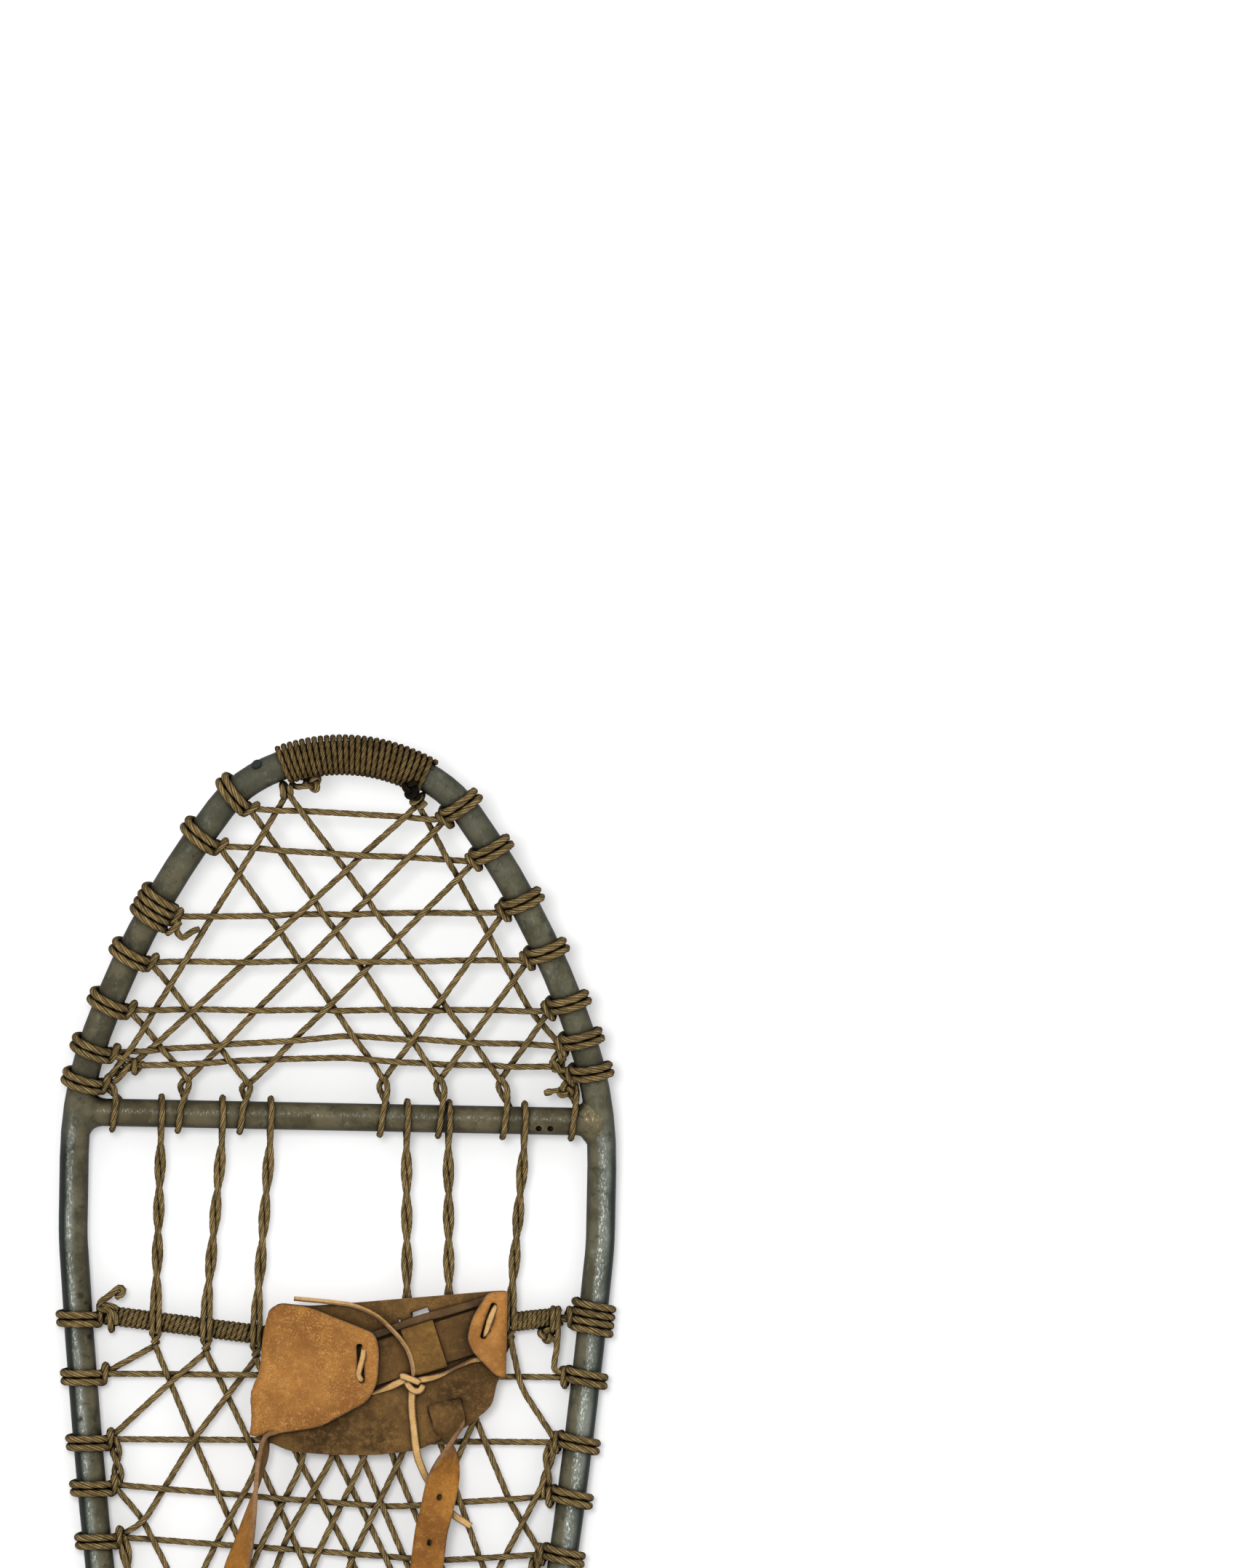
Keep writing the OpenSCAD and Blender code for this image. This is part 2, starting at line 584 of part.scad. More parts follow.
// Cross cord in three straight runs, and the fine cord wound over its ends
module master_cord_core() color(rope) shoe() {
  run = [cross_a, cross_b, cross_c, cross_d];
  tube_along([for (p = run) [p[0], p[1], 0]], core_d, 24);
}
serve_clear = 2;
function serve_point(p, q, turns, i) = let (u = unit(q - p), f = 360 * i / serve_rings,
  c = p + (q - p) * i / (turns * serve_rings))
  [c[0] - u[1] * serve_path_r * cos(f), c[1] + u[0] * serve_path_r * cos(f), serve_path_r * sin(f)];
function serve_out(p, q, i) = let (u = unit(q - p), f = 360 * i / serve_rings)
  [-u[1] * cos(f), u[0] * cos(f), sin(f)];
function serve_path(p, q, turns) = [for (i = [0:turns * serve_rings]) serve_point(p, q, turns, i)];
function least_gap(path, lag, d) = min([for (i = [0:len(path) - 1 - lag])
  norm(path[i] - path[i + lag])]) - d;
module serving(p, q, turns) {
  path = serve_path(p, q, turns);
  tube_skin([for (i = [0:len(path) - 1])
    tube_ring(path, i, serve_out(p, q, i), serve_d / 2, 6)], 6);
}
serve_left_from = cross_a + serve_clear * unit(cross_b - cross_a);
serve_left_to = cross_b - serve_clear * unit(cross_b - cross_a);
serve_right_from = cross_c + serve_clear * unit(cross_d - cross_c);
serve_right_to = cross_d - serve_clear * unit(cross_d - cross_c);
echo(cross_wrap_left_least_gap =
  least_gap(serve_path(serve_left_from, serve_left_to, serve_turns_left), serve_rings, serve_d));
echo(cross_wrap_right_least_gap =
  least_gap(serve_path(serve_right_from, serve_right_to, serve_turns_right), serve_rings, serve_d));
module master_cord_wrap_left() color(rope) shoe()
  serving(serve_left_from, serve_left_to, serve_turns_left);
module master_cord_wrap_right() color(rope) shoe()
  serving(serve_right_from, serve_right_to, serve_turns_right);

module foot_hitches() color(rope) shoe() for (i = [0:9]) {
  flat_hitch(foot_spot(foot_left_y[i], -1), 2);
  flat_hitch(foot_spot(foot_right_y[i], 1), 2);
}
module master_cord_hitches() color(rope) shoe() {
  flat_hitch(foot_spot(cross_left_y, -1), 2);
  flat_hitch(foot_spot(cross_right_y, 1), 4);
}
module foot_rows() color(rope) shoe() {
  for (i = [0, 1, 4, 5, 6, 7, 8, 9]) strand(foot_l[i], foot_r[i], 0);
  bent_strand([foot_l[2], in_net([-23, -211]), in_net([33, -214]), foot_r[2]], 0);
  bent_strand([foot_l[3], in_net([7, -240]), in_net([60, -243]), foot_r[3]], 0);
}
module foot_diagonals_left() color(rope) shoe() {
  bent_strand([mid_split[0], in_net([-76, -180]), in_net([-50, -235]), rear_up[4]], level);
  bent_strand([mid_split[1], in_net([-47, -177]), in_net([-18, -238]), rear_up[5]], level);
  bent_strand([mid_split[2], in_net([-20, -186]), in_net([9, -238]), foot_r[9]], level);
  bent_strand([mid_split[3], in_net([2, -187]), in_net([30, -241]), foot_r[8]], level);
  bent_strand([mid_split[4], in_net([16, -186]), in_net([40, -241]), foot_r[7]], level);
  bent_strand([mid_split[5], in_net([36, -194]), in_net([48, -222]), foot_r[6]], level);
  bent_strand([mid_split[6], in_net([68, -203]), in_net([83, -244]), foot_r[5]], level);
  bent_strand([mid_split[7], in_net([79, -166]), in_net([98, -210]), foot_r[3]], level);
  bent_strand([mid_split[8], in_net([103, -147]), foot_r[1]], level);
  bent_strand([foot_l[2], in_net([-104, -223]), in_net([-90, -249]), rear_up[2]], level);
  strand(foot_l[3], rear_up[1], level);
  bent_strand([foot_l[5], in_net([-88, -330]), rear_up[0]], level);
}
module foot_diagonals_right() color(rope) shoe() {
  strand(mid_split[0], foot_l[0], -level);
  bent_strand([mid_split[1], in_net([-91, -149]), foot_l[1]], -level);
  bent_strand([mid_split[2], in_net([-75, -177]), in_net([-103, -225]), foot_l[3]], -level);
  bent_strand([mid_split[3], in_net([-43, -198]), in_net([-62, -234]), foot_l[6]], -level);
  bent_strand([mid_split[4], in_net([-17, -193]), in_net([-39, -238]), foot_l[8]], -level);
  bent_strand([mid_split[5], in_net([0, -188]), in_net([-23, -229]), foot_l[9]], -level);
  bent_strand([mid_split[6], in_net([16, -191]), in_net([-6, -238]), rear_up[0]], -level);
  bent_strand([mid_split[7], in_net([38, -186]), in_net([12, -242]), rear_up[1]], -level);
  bent_strand([mid_split[8], in_net([77, -167]), in_net([58, -213]), rear_up[2]], -level);
  bent_strand([foot_r[1], in_net([116, -200]), in_net([93, -246]), rear_up[3]], -level);
  strand(foot_r[3], rear_up[4], -level);
  bent_strand([foot_r[5], in_net([88, -330]), rear_up[5]], -level);
}
module rear_crossbar_loops() color(rope) shoe() for (i = [0:5]) {
  bar_turn(rear_x[i] - level / 2, -rear_bar_y, 0);
  bar_turn(rear_x[i] + level / 2, -rear_bar_y, 180);
  pair([rear_x[i] - level / 2, -rear_bar_y + leg_from, 0],
    [rear_x[i] - level / 2, -rear_bar_y + rear_split_y - end_back, 0]);
  pair([rear_x[i] + level / 2, -rear_bar_y - leg_from, 0],
    [rear_x[i] + level / 2, -rear_bar_y - rear_split_y + end_back, 0]);
  knot(rear_up[i]);
  knot(rear_down[i]);
}
module tail_hitches() color(rope) shoe() for (i = [0:5]) {
  flat_hitch(foot_spot(tail_net_y[i], -1), 2);
  flat_hitch(foot_spot(tail_net_y[i], 1), 2);
}
module tail_rows() color(rope) shoe() for (i = [0:5]) strand(tail_l[i], tail_r_eye[i], 0);
module tail_diagonals() color(rope) shoe() {
  strand(rear_down[0], tail_r_eye[3], level);
  strand(rear_down[2], tail_r_eye[2], level);
  strand(rear_down[4], tail_r_eye[0], level);
  strand(tail_l[0], tail_r_eye[4], level);
  strand(tail_l[2], tail_r_eye[5], level);
  strand(rear_down[5], tail_l[3], -level);
  strand(rear_down[3], tail_l[2], -level);
  strand(rear_down[1], tail_l[0], -level);
  strand(tail_r_eye[0], tail_l[4], -level);
  strand(tail_r_eye[2], tail_l[5], -level);
}

// Knots and cord ends beside the hitches
cord_end_l = 9;
wrap_in_r = toe_r - wrap_out_r - air;
stopper_s = plan_s(17);
stopper_part = (stopper_s - bar_s) / (eye_r[6][1] - bar_s);
stopper_x = loop_x[6] + stopper_part * (eye_r[6][0] - loop_x[6])
  - sqrt(pow(knot_r + cord_d / 2 + air, 2) - pow(level / 2, 2));
cross_end_x = -120;
module cord_end(p, dir) let (u = unit(dir), a = p + end_back * u, b = a + cord_end_l * u)
  rod([a[0], a[1], 0], [b[0], b[1], 0], hitch_d);
module cord_knots() color(rope) {
  toe_plane() {
    a = toe_polar(-16, wrap_in_r - hitch_d / 2);
    b = toe_polar(-8, wrap_in_r - hitch_d / 2);
    blob = toe_polar(25, wrap_in_r - knot_r);
    rod([a[0], a[1], 0], [b[0], b[1], 0], hitch_d);
    translate([blob[0], blob[1], 0]) sphere(d = knot_d);
    translate([stopper_x, stopper_s, 0]) sphere(d = knot_d);
    cord_end(eye_l[2], [0.4, -1]);
  }
  shoe() {
    y = cross_y(cross_end_x) + serve_out_r + air;
    rod([cross_end_x, y, 0], [cross_end_x - 1, y + cord_end_l, 0], hitch_d);
  }
}

// Sole with both toe flaps, in one piece of leather
sole_line = [fold_a, [-15, -104.5], [13, -102], [fold_x, fold_right_y[0]],
  [fold_x, fold_right_y[1]], [87, -157], [73, -169], [47, -182], [25, -185], [0, -185.5],
  [-23, -184], fold_b];
left_flap_line = [fold_a, [-14, -105], [22, -118.5], [24.5, -126], [24, -145], [19, -155.5],
  [-7, -170], fold_b];
right_flap_line = [[fold_x, fold_right_y[0]], [84, -95], [76, -108], [73, -120], [76, -127],
  [fold_x, fold_right_y[1]]];
module slot(p, a) translate([p[0], p[1], 0]) rotate([0, 0, a])
  translate([-slit[0] / 2, -slit[1] / 2, -sole_t]) cube([slit[0], slit[1], 3 * sole_t]);
// Half ring that joins sole and flap, along a line from p to q, and laps a little into both
fold_lap = 0.4;
module fold(p, q) translate([p[0], p[1], (sole_top + flap_z) / 2])
  rotate([90, 0, atan2(q[1] - p[1], q[0] - p[0]) + 90])
    linear_extrude(norm(q - p)) difference() {
      circle(r = flap_gap_r + sole_t - skin);
      circle(r = flap_gap_r + skin);
      translate([-2 * sole_t - flap_gap_r - fold_lap, -2 * sole_t - flap_gap_r])
        square([2 * sole_t + flap_gap_r, 4 * sole_t + 2 * flap_gap_r]);
    }
strap_slot = [19.2, 3.2];
strap_slot_at = [62.4, -158];
front_slit = [11, 3.6];
front_slit_at = [46.5, -106];
module sole_cut(size) translate([-size[0] / 2, -size[1] / 2, -sole_t])
  cube([size[0], size[1], 2.5 * sole_t]);
module binding_sole() color(hide) shoe() difference() {
  union() {
    translate([0, 0, sole_z]) linear_extrude(sole_t) polygon(sole_line);
    translate([0, 0, flap_z]) linear_extrude(sole_t) polygon(left_flap_line);
    translate([0, 0, flap_z]) linear_extrude(sole_t) polygon(right_flap_line);
    fold(fold_b, fold_a);
    fold([fold_x, fold_right_y[0]], [fold_x, fold_right_y[1]]);
  }
  translate([0, 0, flap_z]) slot([14.4, -135], 5);
  translate([0, 0, flap_z]) slot([83.2, -109.5], -21);
  translate([strap_slot_at[0], strap_slot_at[1], sole_z]) rotate([0, 0, -right_lean])
    sole_cut(strap_slot);
  translate([front_slit_at[0], front_slit_at[1], sole_z]) sole_cut(front_slit);
}

// Leather lashings that turn on the bare cross cord: place along X and width
lash = [[-33.5, 7], [25, 14], [78, 14]];
lash_out_r = 5.2;
module pivot_loops() color(hide) shoe() for (k = lash)
  translate([k[0], cross_y(k[0]), 0]) rotate([90, 0, 90 + cross_turn_m])
    translate([0, 0, -k[1] / 2]) linear_extrude(k[1]) difference() {
      union() {
        circle(r = lash_out_r);
        translate([-lash_out_r, 0]) square([2 * lash_out_r, sole_z]);
      }
      circle(r = core_r + air);
    }

// Cross band between the flaps, and the keeper over it
band_at = [23.6, -134.8];
band_lean = 18.9;
band_run = [-30, 61];
keeper_mid = 27.3;
keeper_w = 18.4;
keeper_t = 2;
module at_band() shoe() translate([band_at[0], band_at[1], 0]) rotate([0, 0, band_lean]) children();
module cross_band() color(hide) at_band() translate([band_run[0], -band_w / 2, band_z])
  cube([band_run[1] - band_run[0], band_w, strap_t]);
module band_keeper() color(thong) at_band() difference() {
  translate([keeper_mid - keeper_w / 2, -band_w / 2 - keeper_t, sole_top])
    cube([keeper_w, band_w + 2 * keeper_t, band_z + strap_t + air + keeper_t - sole_top]);
  translate([keeper_mid - keeper_w, -band_w / 2 - air / 2, sole_top - 1])
    cube([2 * keeper_w, band_w + air, band_z + strap_t + air - sole_top + 1]);
}

// Rawhide lace: two passes under the flaps, the knot, and the two free ends
lace_knot = [41.6, -145.6];
lace_knot_r = 3.2;
lace_sides = 8;
module toe_lace() color(thong) shoe() {
  tube_along([[16, -122, lace_z], [30, -116.4, lace_z], [46, -110.5, lace_z], [84, -99, lace_z]],
    lace_d, lace_sides);
  tube_along([[18, -152, lace_z], [30, -148.4, lace_z], [38, -146.4, lace_z]], lace_d, lace_sides);
  tube_along([[45, -144.4, lace_z], [59, -139.6, lace_z], [72, -134.5, lace_z], [84, -131.5, lace_z]],
    lace_d, lace_sides);
  translate([lace_knot[0], lace_knot[1], sole_top + 2 * skin + lace_knot_r]) sphere(r = lace_knot_r);
}
module lace_end_front() color(thong) shoe()
  tube_along([[41.4, -142.4, 14.4], [39.6, -134, 15], [37.4, -126, 14.8], [33.5, -117.5, 14.6],
    [24, -109, 13.4], [14, -104, 12.2], [0, -102, 11.4], [-22, -100.5, 11.4]], lace_d, lace_sides);
module lace_end_rear() color(thong) shoe()
  tube_along([[42, -149.2, 11.6], [43, -158, 11.2], [44.5, -168, 11.2], [46.4, -184, 11],
    [48.8, -192, 8.4], [53, -199, 7.2], [59, -206, 7.2], [65, -215.5, 7.2], [77, -223.5, 7.2]],
    lace_d, lace_sides);

// Right heel strap: a root threaded up through the sole, then the strap with holes
module at_right() shoe() translate([right_strap_x, strap_hinge_y, band_z])
  rotate([0, 0, -right_lean]) children();
right_root_l = norm([strap_slot_at[0] - right_strap_x, strap_slot_at[1] - strap_hinge_y]);
module heel_strap_right_root() color(hide) at_right() {
  translate([-strap_w / 2, air, 0]) cube([strap_w, right_root_l - air + strap_t / 2, strap_t]);
  translate([-strap_w / 2, right_root_l - strap_t / 2, sole_z - band_z])
    cube([strap_w, strap_t, band_z - sole_z]);
}
strap_holes = 8;
first_hole = 23.4;
module heel_strap_right() color(hide) at_right() linear_extrude(strap_t) difference() {
  union() {
    translate([-strap_w / 2, -right_len + strap_w / 2]) square([strap_w, right_len - strap_w / 2]);
    translate([0, -right_len + strap_w / 2]) circle(d = strap_w);
  }
  for (i = [0:strap_holes - 1]) translate([0, -first_hole - i * hole_step]) circle(d = hole_d);
}

// Left heel strap: a root between sole and flap, then a ribbon that turns on edge and back
module heel_strap_left_root() color(hide) shoe()
  translate([left_strap_x - strap_w / 2 + 2, strap_hinge_y + air, lace_z - strap_t / 2])
    cube([strap_w, 32, strap_t]);
left_run = [[-32, -184, 11.1], [-33.5, -188, 12], [-36.5, -193, 13.4], [-40, -199, 14.8],
  [-43, -207, 15.4], [-45, -222, 15.4], [-47, -238, 14.8], [-48.5, -254, 13], [-49.5, -268, 12],
  [-50, -280, left_flat_z], [-50, -305, left_flat_z], [left_end[0], left_end[1], left_flat_z]];
left_roll = [0, 16, 40, 66, 82, 80, 58, 30, 12, 0, 0, 0];
function ribbon_ring(i) = let (t = i > 9 ? [0, -1, 0] : i == 0 ? [0, -1, 0] : tangent(left_run, i),
  s = unit(cross([0, 0, 1], t)), n = cross(t, s), a = left_roll[i],
  w = (cos(a) * s + sin(a) * n) * strap_w / 2, d = (cos(a) * n - sin(a) * s) * strap_t / 2)
  [left_run[i] + w + d, left_run[i] - w + d, left_run[i] - w - d, left_run[i] + w - d];
module heel_strap_left() color(hide) shoe() tube_skin([for (i = [0:11]) ribbon_ring(i)], 4);

// Leather chape round the buckle's bar, riveted on the strap, and the keeper
chape_l = 24;
module at_buckle() shoe() translate([left_end[0], buckle_y, buckle_z]) children();
module chape_line(w) rotate([90, 0, 90]) translate([0, 0, -w / 2]) linear_extrude(w) difference() {
  union() {
    circle(r = chape_out_r);
    translate([0, chape_out_r - chape_t]) square([chape_out_r + air + chape_l, chape_t]);
  }
  circle(r = bar_hole_r);
}
chape_rivet_at = [11, 21];
chape_rivet_d = 3;
chape_head_d = 6;
chape_head_t = 1.2;
module buckle_chape() color(hide) difference() {
  at_buckle() chape_line(strap_w);
  at_buckle() translate([-prong_slot / 2, -2 * chape_out_r, -2 * chape_out_r])
    cube([prong_slot, 2 * chape_out_r + prong_slot_l, 4 * chape_out_r]);
  at_buckle() for (y = chape_rivet_at) translate([0, chape_out_r + y - wire_r, 0])
    cylinder(d = chape_rivet_d + 2 * skin, h = 3 * chape_out_r);
}
module chape_rivets() color(bright) at_buckle() for (y = chape_rivet_at)
  translate([0, chape_out_r + y - wire_r, chape_out_r - chape_t]) {
    cylinder(d = chape_rivet_d, h = chape_t + skin);
    translate([0, 0, chape_t + skin]) cylinder(d = chape_head_d, h = chape_head_t);
  }
strap_keeper_y = -292;
strap_keeper_w = 9;
strap_keeper_h = 8;
module strap_keeper() color(hide) shoe()
  translate([left_end[0], strap_keeper_y, left_flat_z - strap_t / 2 - 2 * skin])
    rotate([90, 0, 0]) linear_extrude(strap_keeper_w) difference() {
      translate([-strap_w / 2 - air - keeper_t, -keeper_t])
        square([strap_w + 2 * air + 2 * keeper_t, strap_keeper_h + 2 * keeper_t]);
      translate([-strap_w / 2 - air, 0]) square([strap_w + 2 * air, strap_keeper_h]);
    }

// Buckle of bent wire, and the prong that turns on the same bar
buckle_x = (buckle_w + wire_d) / 2;
corner_r = 4;
module wire(p, q) rod(p, q, wire_d);
module buckle_frame() color(bright) at_buckle() {
  for (y = [0, -buckle_l]) wire([-buckle_x + corner_r, y, 0], [buckle_x - corner_r, y, 0]);
  for (side = [-1, 1])
    wire([side * buckle_x, -corner_r, 0], [side * buckle_x, corner_r - buckle_l, 0]);
  for (k = [[1, -corner_r, 0], [-1, -corner_r, 90], [-1, corner_r - buckle_l, 180],
    [1, corner_r - buckle_l, 270]])
    translate([k[0] * (buckle_x - corner_r), k[1], 0]) rotate([0, 0, k[2]])
      rotate_extrude(angle = 90) translate([corner_r, 0]) circle(d = wire_d);
}
prong_eye_r = wire_r + 0.2;
prong_out_r = prong_eye_r + 1.6;
module buckle_prong() color(bright) at_buckle() {
  difference() {
    union() {
      rotate([0, 90, 0]) translate([0, 0, -prong_w / 2]) cylinder(r = prong_out_r, h = prong_w);
      rod([0, -prong_eye_r, prong_eye_r], [0, -buckle_l - wire_r, wire_r + air + prong_d / 2], prong_d);
    }
    rotate([0, 90, 0]) translate([0, 0, -prong_w]) cylinder(r = prong_eye_r, h = 2 * prong_w);
  }
}

frame_left();
frame_right();
toe_splice_sleeve();
splice_rivets();
front_crossbar();
front_crossbar_welds();
rear_crossbar();
rear_crossbar_welds();
tail_rivets();
tail_plugs();
toe_wrap();
toe_hitches();
toe_rows();
toe_diagonals_left();
toe_diagonals_right();
toe_crossbar_loops();
toe_hole_cords_left();
toe_hole_cords_right();
master_cord_core();
master_cord_wrap_left();
master_cord_wrap_right();
master_cord_hitches();
foot_cord_loops();
foot_hitches();
foot_rows();
foot_diagonals_left();
foot_diagonals_right();
rear_crossbar_loops();
tail_hitches();
tail_rows();
tail_diagonals();
cord_knots();
binding_sole();
pivot_loops();
cross_band();
band_keeper();
toe_lace();
lace_end_front();
lace_end_rear();
heel_strap_right_root();
heel_strap_right();
heel_strap_left_root();
heel_strap_left();
buckle_chape();
chape_rivets();
strap_keeper();
buckle_frame();
buckle_prong();
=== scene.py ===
# Metal-framed snowshoe with a cord net and a leather binding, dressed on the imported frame.
# Lengths in this file are millimetres in shoe coordinates: Y = 0 on the front crossbar and
# Z = 0 on the frame tube's axis. row() takes them to metres in the row frame.
import math
import random

import bpy
import numpy as np
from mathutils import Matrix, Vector, geometry, noise


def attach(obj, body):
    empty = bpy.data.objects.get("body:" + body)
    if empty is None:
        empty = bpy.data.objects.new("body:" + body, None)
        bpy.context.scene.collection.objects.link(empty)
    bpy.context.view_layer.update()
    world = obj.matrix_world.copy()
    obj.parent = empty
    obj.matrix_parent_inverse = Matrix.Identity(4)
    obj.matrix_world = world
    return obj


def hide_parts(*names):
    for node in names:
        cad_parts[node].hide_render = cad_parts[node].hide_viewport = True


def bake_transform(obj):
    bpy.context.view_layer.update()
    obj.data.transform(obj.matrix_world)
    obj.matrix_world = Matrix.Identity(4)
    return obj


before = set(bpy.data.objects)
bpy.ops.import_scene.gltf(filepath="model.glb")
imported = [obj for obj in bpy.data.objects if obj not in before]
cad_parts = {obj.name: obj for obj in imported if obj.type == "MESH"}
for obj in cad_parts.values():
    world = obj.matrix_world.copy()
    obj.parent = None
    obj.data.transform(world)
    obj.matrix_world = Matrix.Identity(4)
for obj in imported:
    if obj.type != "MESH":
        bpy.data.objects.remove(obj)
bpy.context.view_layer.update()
random.seed(7)

SHIFT = np.array([0.0, 402.2103, 11.8])
TILT = math.radians(10)
# Where the tilted toe plane leaves the flat part
TOE_Y, TOE_Z = -24.7681, 3.0384
TUBE_R, BAR_R = 8.0, 7.6
HALF_W = 145.0
# Radius of the net's cords and of the hitches, and the gap between a cord and what it goes round
NET_R, HITCH_R, GAP = 1.75, 2.2, 0.1
# How far inside the tube's axis the cords of the net start
EYE = 11.8


def sin(a):
    return math.sin(math.radians(a))


def cos(a):
    return math.cos(math.radians(a))


def row(points):
    return (np.asarray(points, float) + SHIFT) / 1000


def toe(points):
    # from the tilted toe plane (x, s, w) to shoe coordinates
    p = np.asarray(points, float)
    y = TOE_Y + p[..., 1] * math.cos(TILT) - p[..., 2] * math.sin(TILT)
    z = TOE_Z + p[..., 1] * math.sin(TILT) + p[..., 2] * math.cos(TILT)
    return np.stack([p[..., 0], y, z], -1)


def same(points):
    return np.asarray(points, float)


def plan_s(y):
    return (y - TOE_Y) / math.cos(TILT)


BAR_S = plan_s(0)

# Toe arcs of the frame's centreline from the tip: radius and turn
TOE_ARCS = [(93.1185, 32), (66, 22), (480, 17), (215, 19)]
TOE_TIP = 227.188
TOE_C = TOE_TIP - TOE_ARCS[0][0]


def toe_centres():
    start, head, found = np.array([0.0, TOE_TIP]), 0, []
    for radius, turn in TOE_ARCS:
        centre = start - radius * np.array([sin(head), cos(head)])
        head += turn
        end = centre + radius * np.array([sin(head), cos(head)])
        found.append((centre, radius, end[1]))
        start = end
    return found


CENTRES = toe_centres()


def toe_spot(y, side):
    s = plan_s(y)
    i = next((k for k, c in enumerate(CENTRES) if s >= c[2]), 3)
    centre, radius, _ = CENTRES[i]
    h = math.degrees(math.acos((s - centre[1]) / radius))
    return side * (centre[0] + radius * sin(h)), s, 270 - h if side > 0 else h - 90


# Side arcs behind the crossbar: lowest y, then y, half width and lean where the arc starts, and its radius
SIDE_ARCS = [(-75.19, -59.498, HALF_W, 0, 200), (-221.1, -75.19, 144.383, 4.5, 4000),
             (-742.44, -221.1, 130.205, 6.6, 3244.14)]
# The tail bends back: y and half width where it runs straight, and its radius
TAIL_Y, TAIL_X, TAIL_R = -866.47, 8.6, 450


def foot_spot(y, side):
    for low, start_y, start_x, lean, radius in SIDE_ARCS:
        if y > low:
            a = math.degrees(math.asin((start_y - y) / radius + sin(lean)))
            x = start_x - radius * (cos(lean) - cos(a))
            break
    else:
        a = math.degrees(math.asin(max(0.0, (y - TAIL_Y) / TAIL_R)))
        x = TAIL_X + TAIL_R * (1 - cos(a))
    return side * x, y, 180 - a if side > 0 else a


def off_spot(spot, d):
    return np.array([spot[0] + d * cos(spot[2]), spot[1] + d * sin(spot[2])])


def polar(h, r):
    return np.array([r * sin(h), TOE_C + r * cos(h)])


def link(name, data):
    ob = bpy.data.objects.new(name, data)
    bpy.context.scene.collection.objects.link(ob)
    return ob


# Camera straight above, turned as the photograph is, and the picture's height on the tube plane
PICTURE_MM, CAMERA_MM, SENSOR_MM = 862.4, 9000.0, 36
camera_data = bpy.data.cameras.new("camera")
camera = link("camera", camera_data)
camera_data.sensor_fit = "VERTICAL"
camera_data.sensor_height = SENSOR_MM
camera_data.lens = SENSOR_MM * CAMERA_MM / PICTURE_MM
camera.location = row([155, 186, CAMERA_MM])
camera.rotation_euler = (0, 0, math.atan(0.0196))
bpy.context.scene.camera = camera


def unit(v):
    return v / np.linalg.norm(v)


def unit_rows(v):
    return v / np.linalg.norm(v, axis=1)[:, None]


def lengths(p):
    # length along a line at each of its points
    return np.concatenate([[0], np.cumsum(np.linalg.norm(np.diff(p, axis=0), axis=1))])


def smooth_line(points, step):
    # Catmull-Rom curve through the points, at an even step
    p = np.asarray(points, float)
    if len(p) == 2:
        n = max(2, int(math.ceil(np.linalg.norm(p[1] - p[0]) / step)) + 1)
        return p[0] + (p[1] - p[0]) * np.linspace(0, 1, n)[:, None]
    e = np.vstack([2 * p[0] - p[1], p, 2 * p[-1] - p[-2]])
    t = np.linspace(0, 1, 13)[:-1][:, None]
    runs = []
    for a, b, c, d in zip(e[:-3], e[1:-2], e[2:-1], e[3:]):
        runs.append(0.5 * (2 * b + (c - a) * t + (2 * a - 5 * b + 4 * c - d) * t**2
                           + (3 * b - a - 3 * c + d) * t**3))
    return even(np.vstack(runs + [p[-1:]]), step)


def even(p, step):
    s = lengths(p)
    n = max(3, int(math.ceil(s[-1] / step)) + 1)
    at = np.linspace(0, s[-1], n)
    return np.stack([np.interp(at, s, p[:, k]) for k in range(p.shape[1])], 1)


def frames(p):
    # tangents and a sideways vector carried along without twist
    t = unit_rows(np.gradient(p, axis=0))
    n = np.zeros_like(t)
    ref = np.array([0, 0, 1.0]) if abs(t[0][2]) < 0.9 else np.array([1.0, 0, 0])
    n[0] = unit(np.cross(ref, t[0]))
    for i in range(1, len(p)):
        n[i] = unit(n[i - 1] - t[i] * np.dot(n[i - 1], t[i]))
    return t, n, np.cross(t, n)


class Mesh:
    # gathers vertices, faces, texture places and material numbers of one piece

    def __init__(self):
        self.verts, self.faces, self.uvs, self.mats = [], [], [], []
        self.count = 0

    def add(self, verts, *groups):
        # a group is faces, their texture places and one material number
        self.verts.append(np.asarray(verts, float))
        for faces, uvs, mat in groups:
            for f, uv in zip(faces, uvs):
                self.faces.append([k + self.count for k in f])
                self.uvs.extend(uv)
                self.mats.append(mat)
        self.count += len(verts)

    def make(self, name, materials):
        mesh = bpy.data.meshes.new(name)
        mesh.from_pydata(row(np.vstack(self.verts)).tolist(), [], self.faces)
        layer = mesh.uv_layers.new(name="lay")
        layer.data.foreach_set("uv", np.asarray(self.uvs, np.float32).ravel())
        for m in materials:
            mesh.materials.append(m)
        mesh.polygons.foreach_set("material_index", self.mats)
        mesh.polygons.foreach_set("use_smooth", [True] * len(mesh.polygons))
        mesh.validate()
        mesh.update()
        return link(name, mesh)


# Length of a cord's full twist, and the spacing of points along it
ROPE_LAY, STEP = 25.0, 1.5
# One strand of three: valley, flank, crest, flank
ROPE_PROFILE = (0.86, 0.98, 1.01, 0.98)


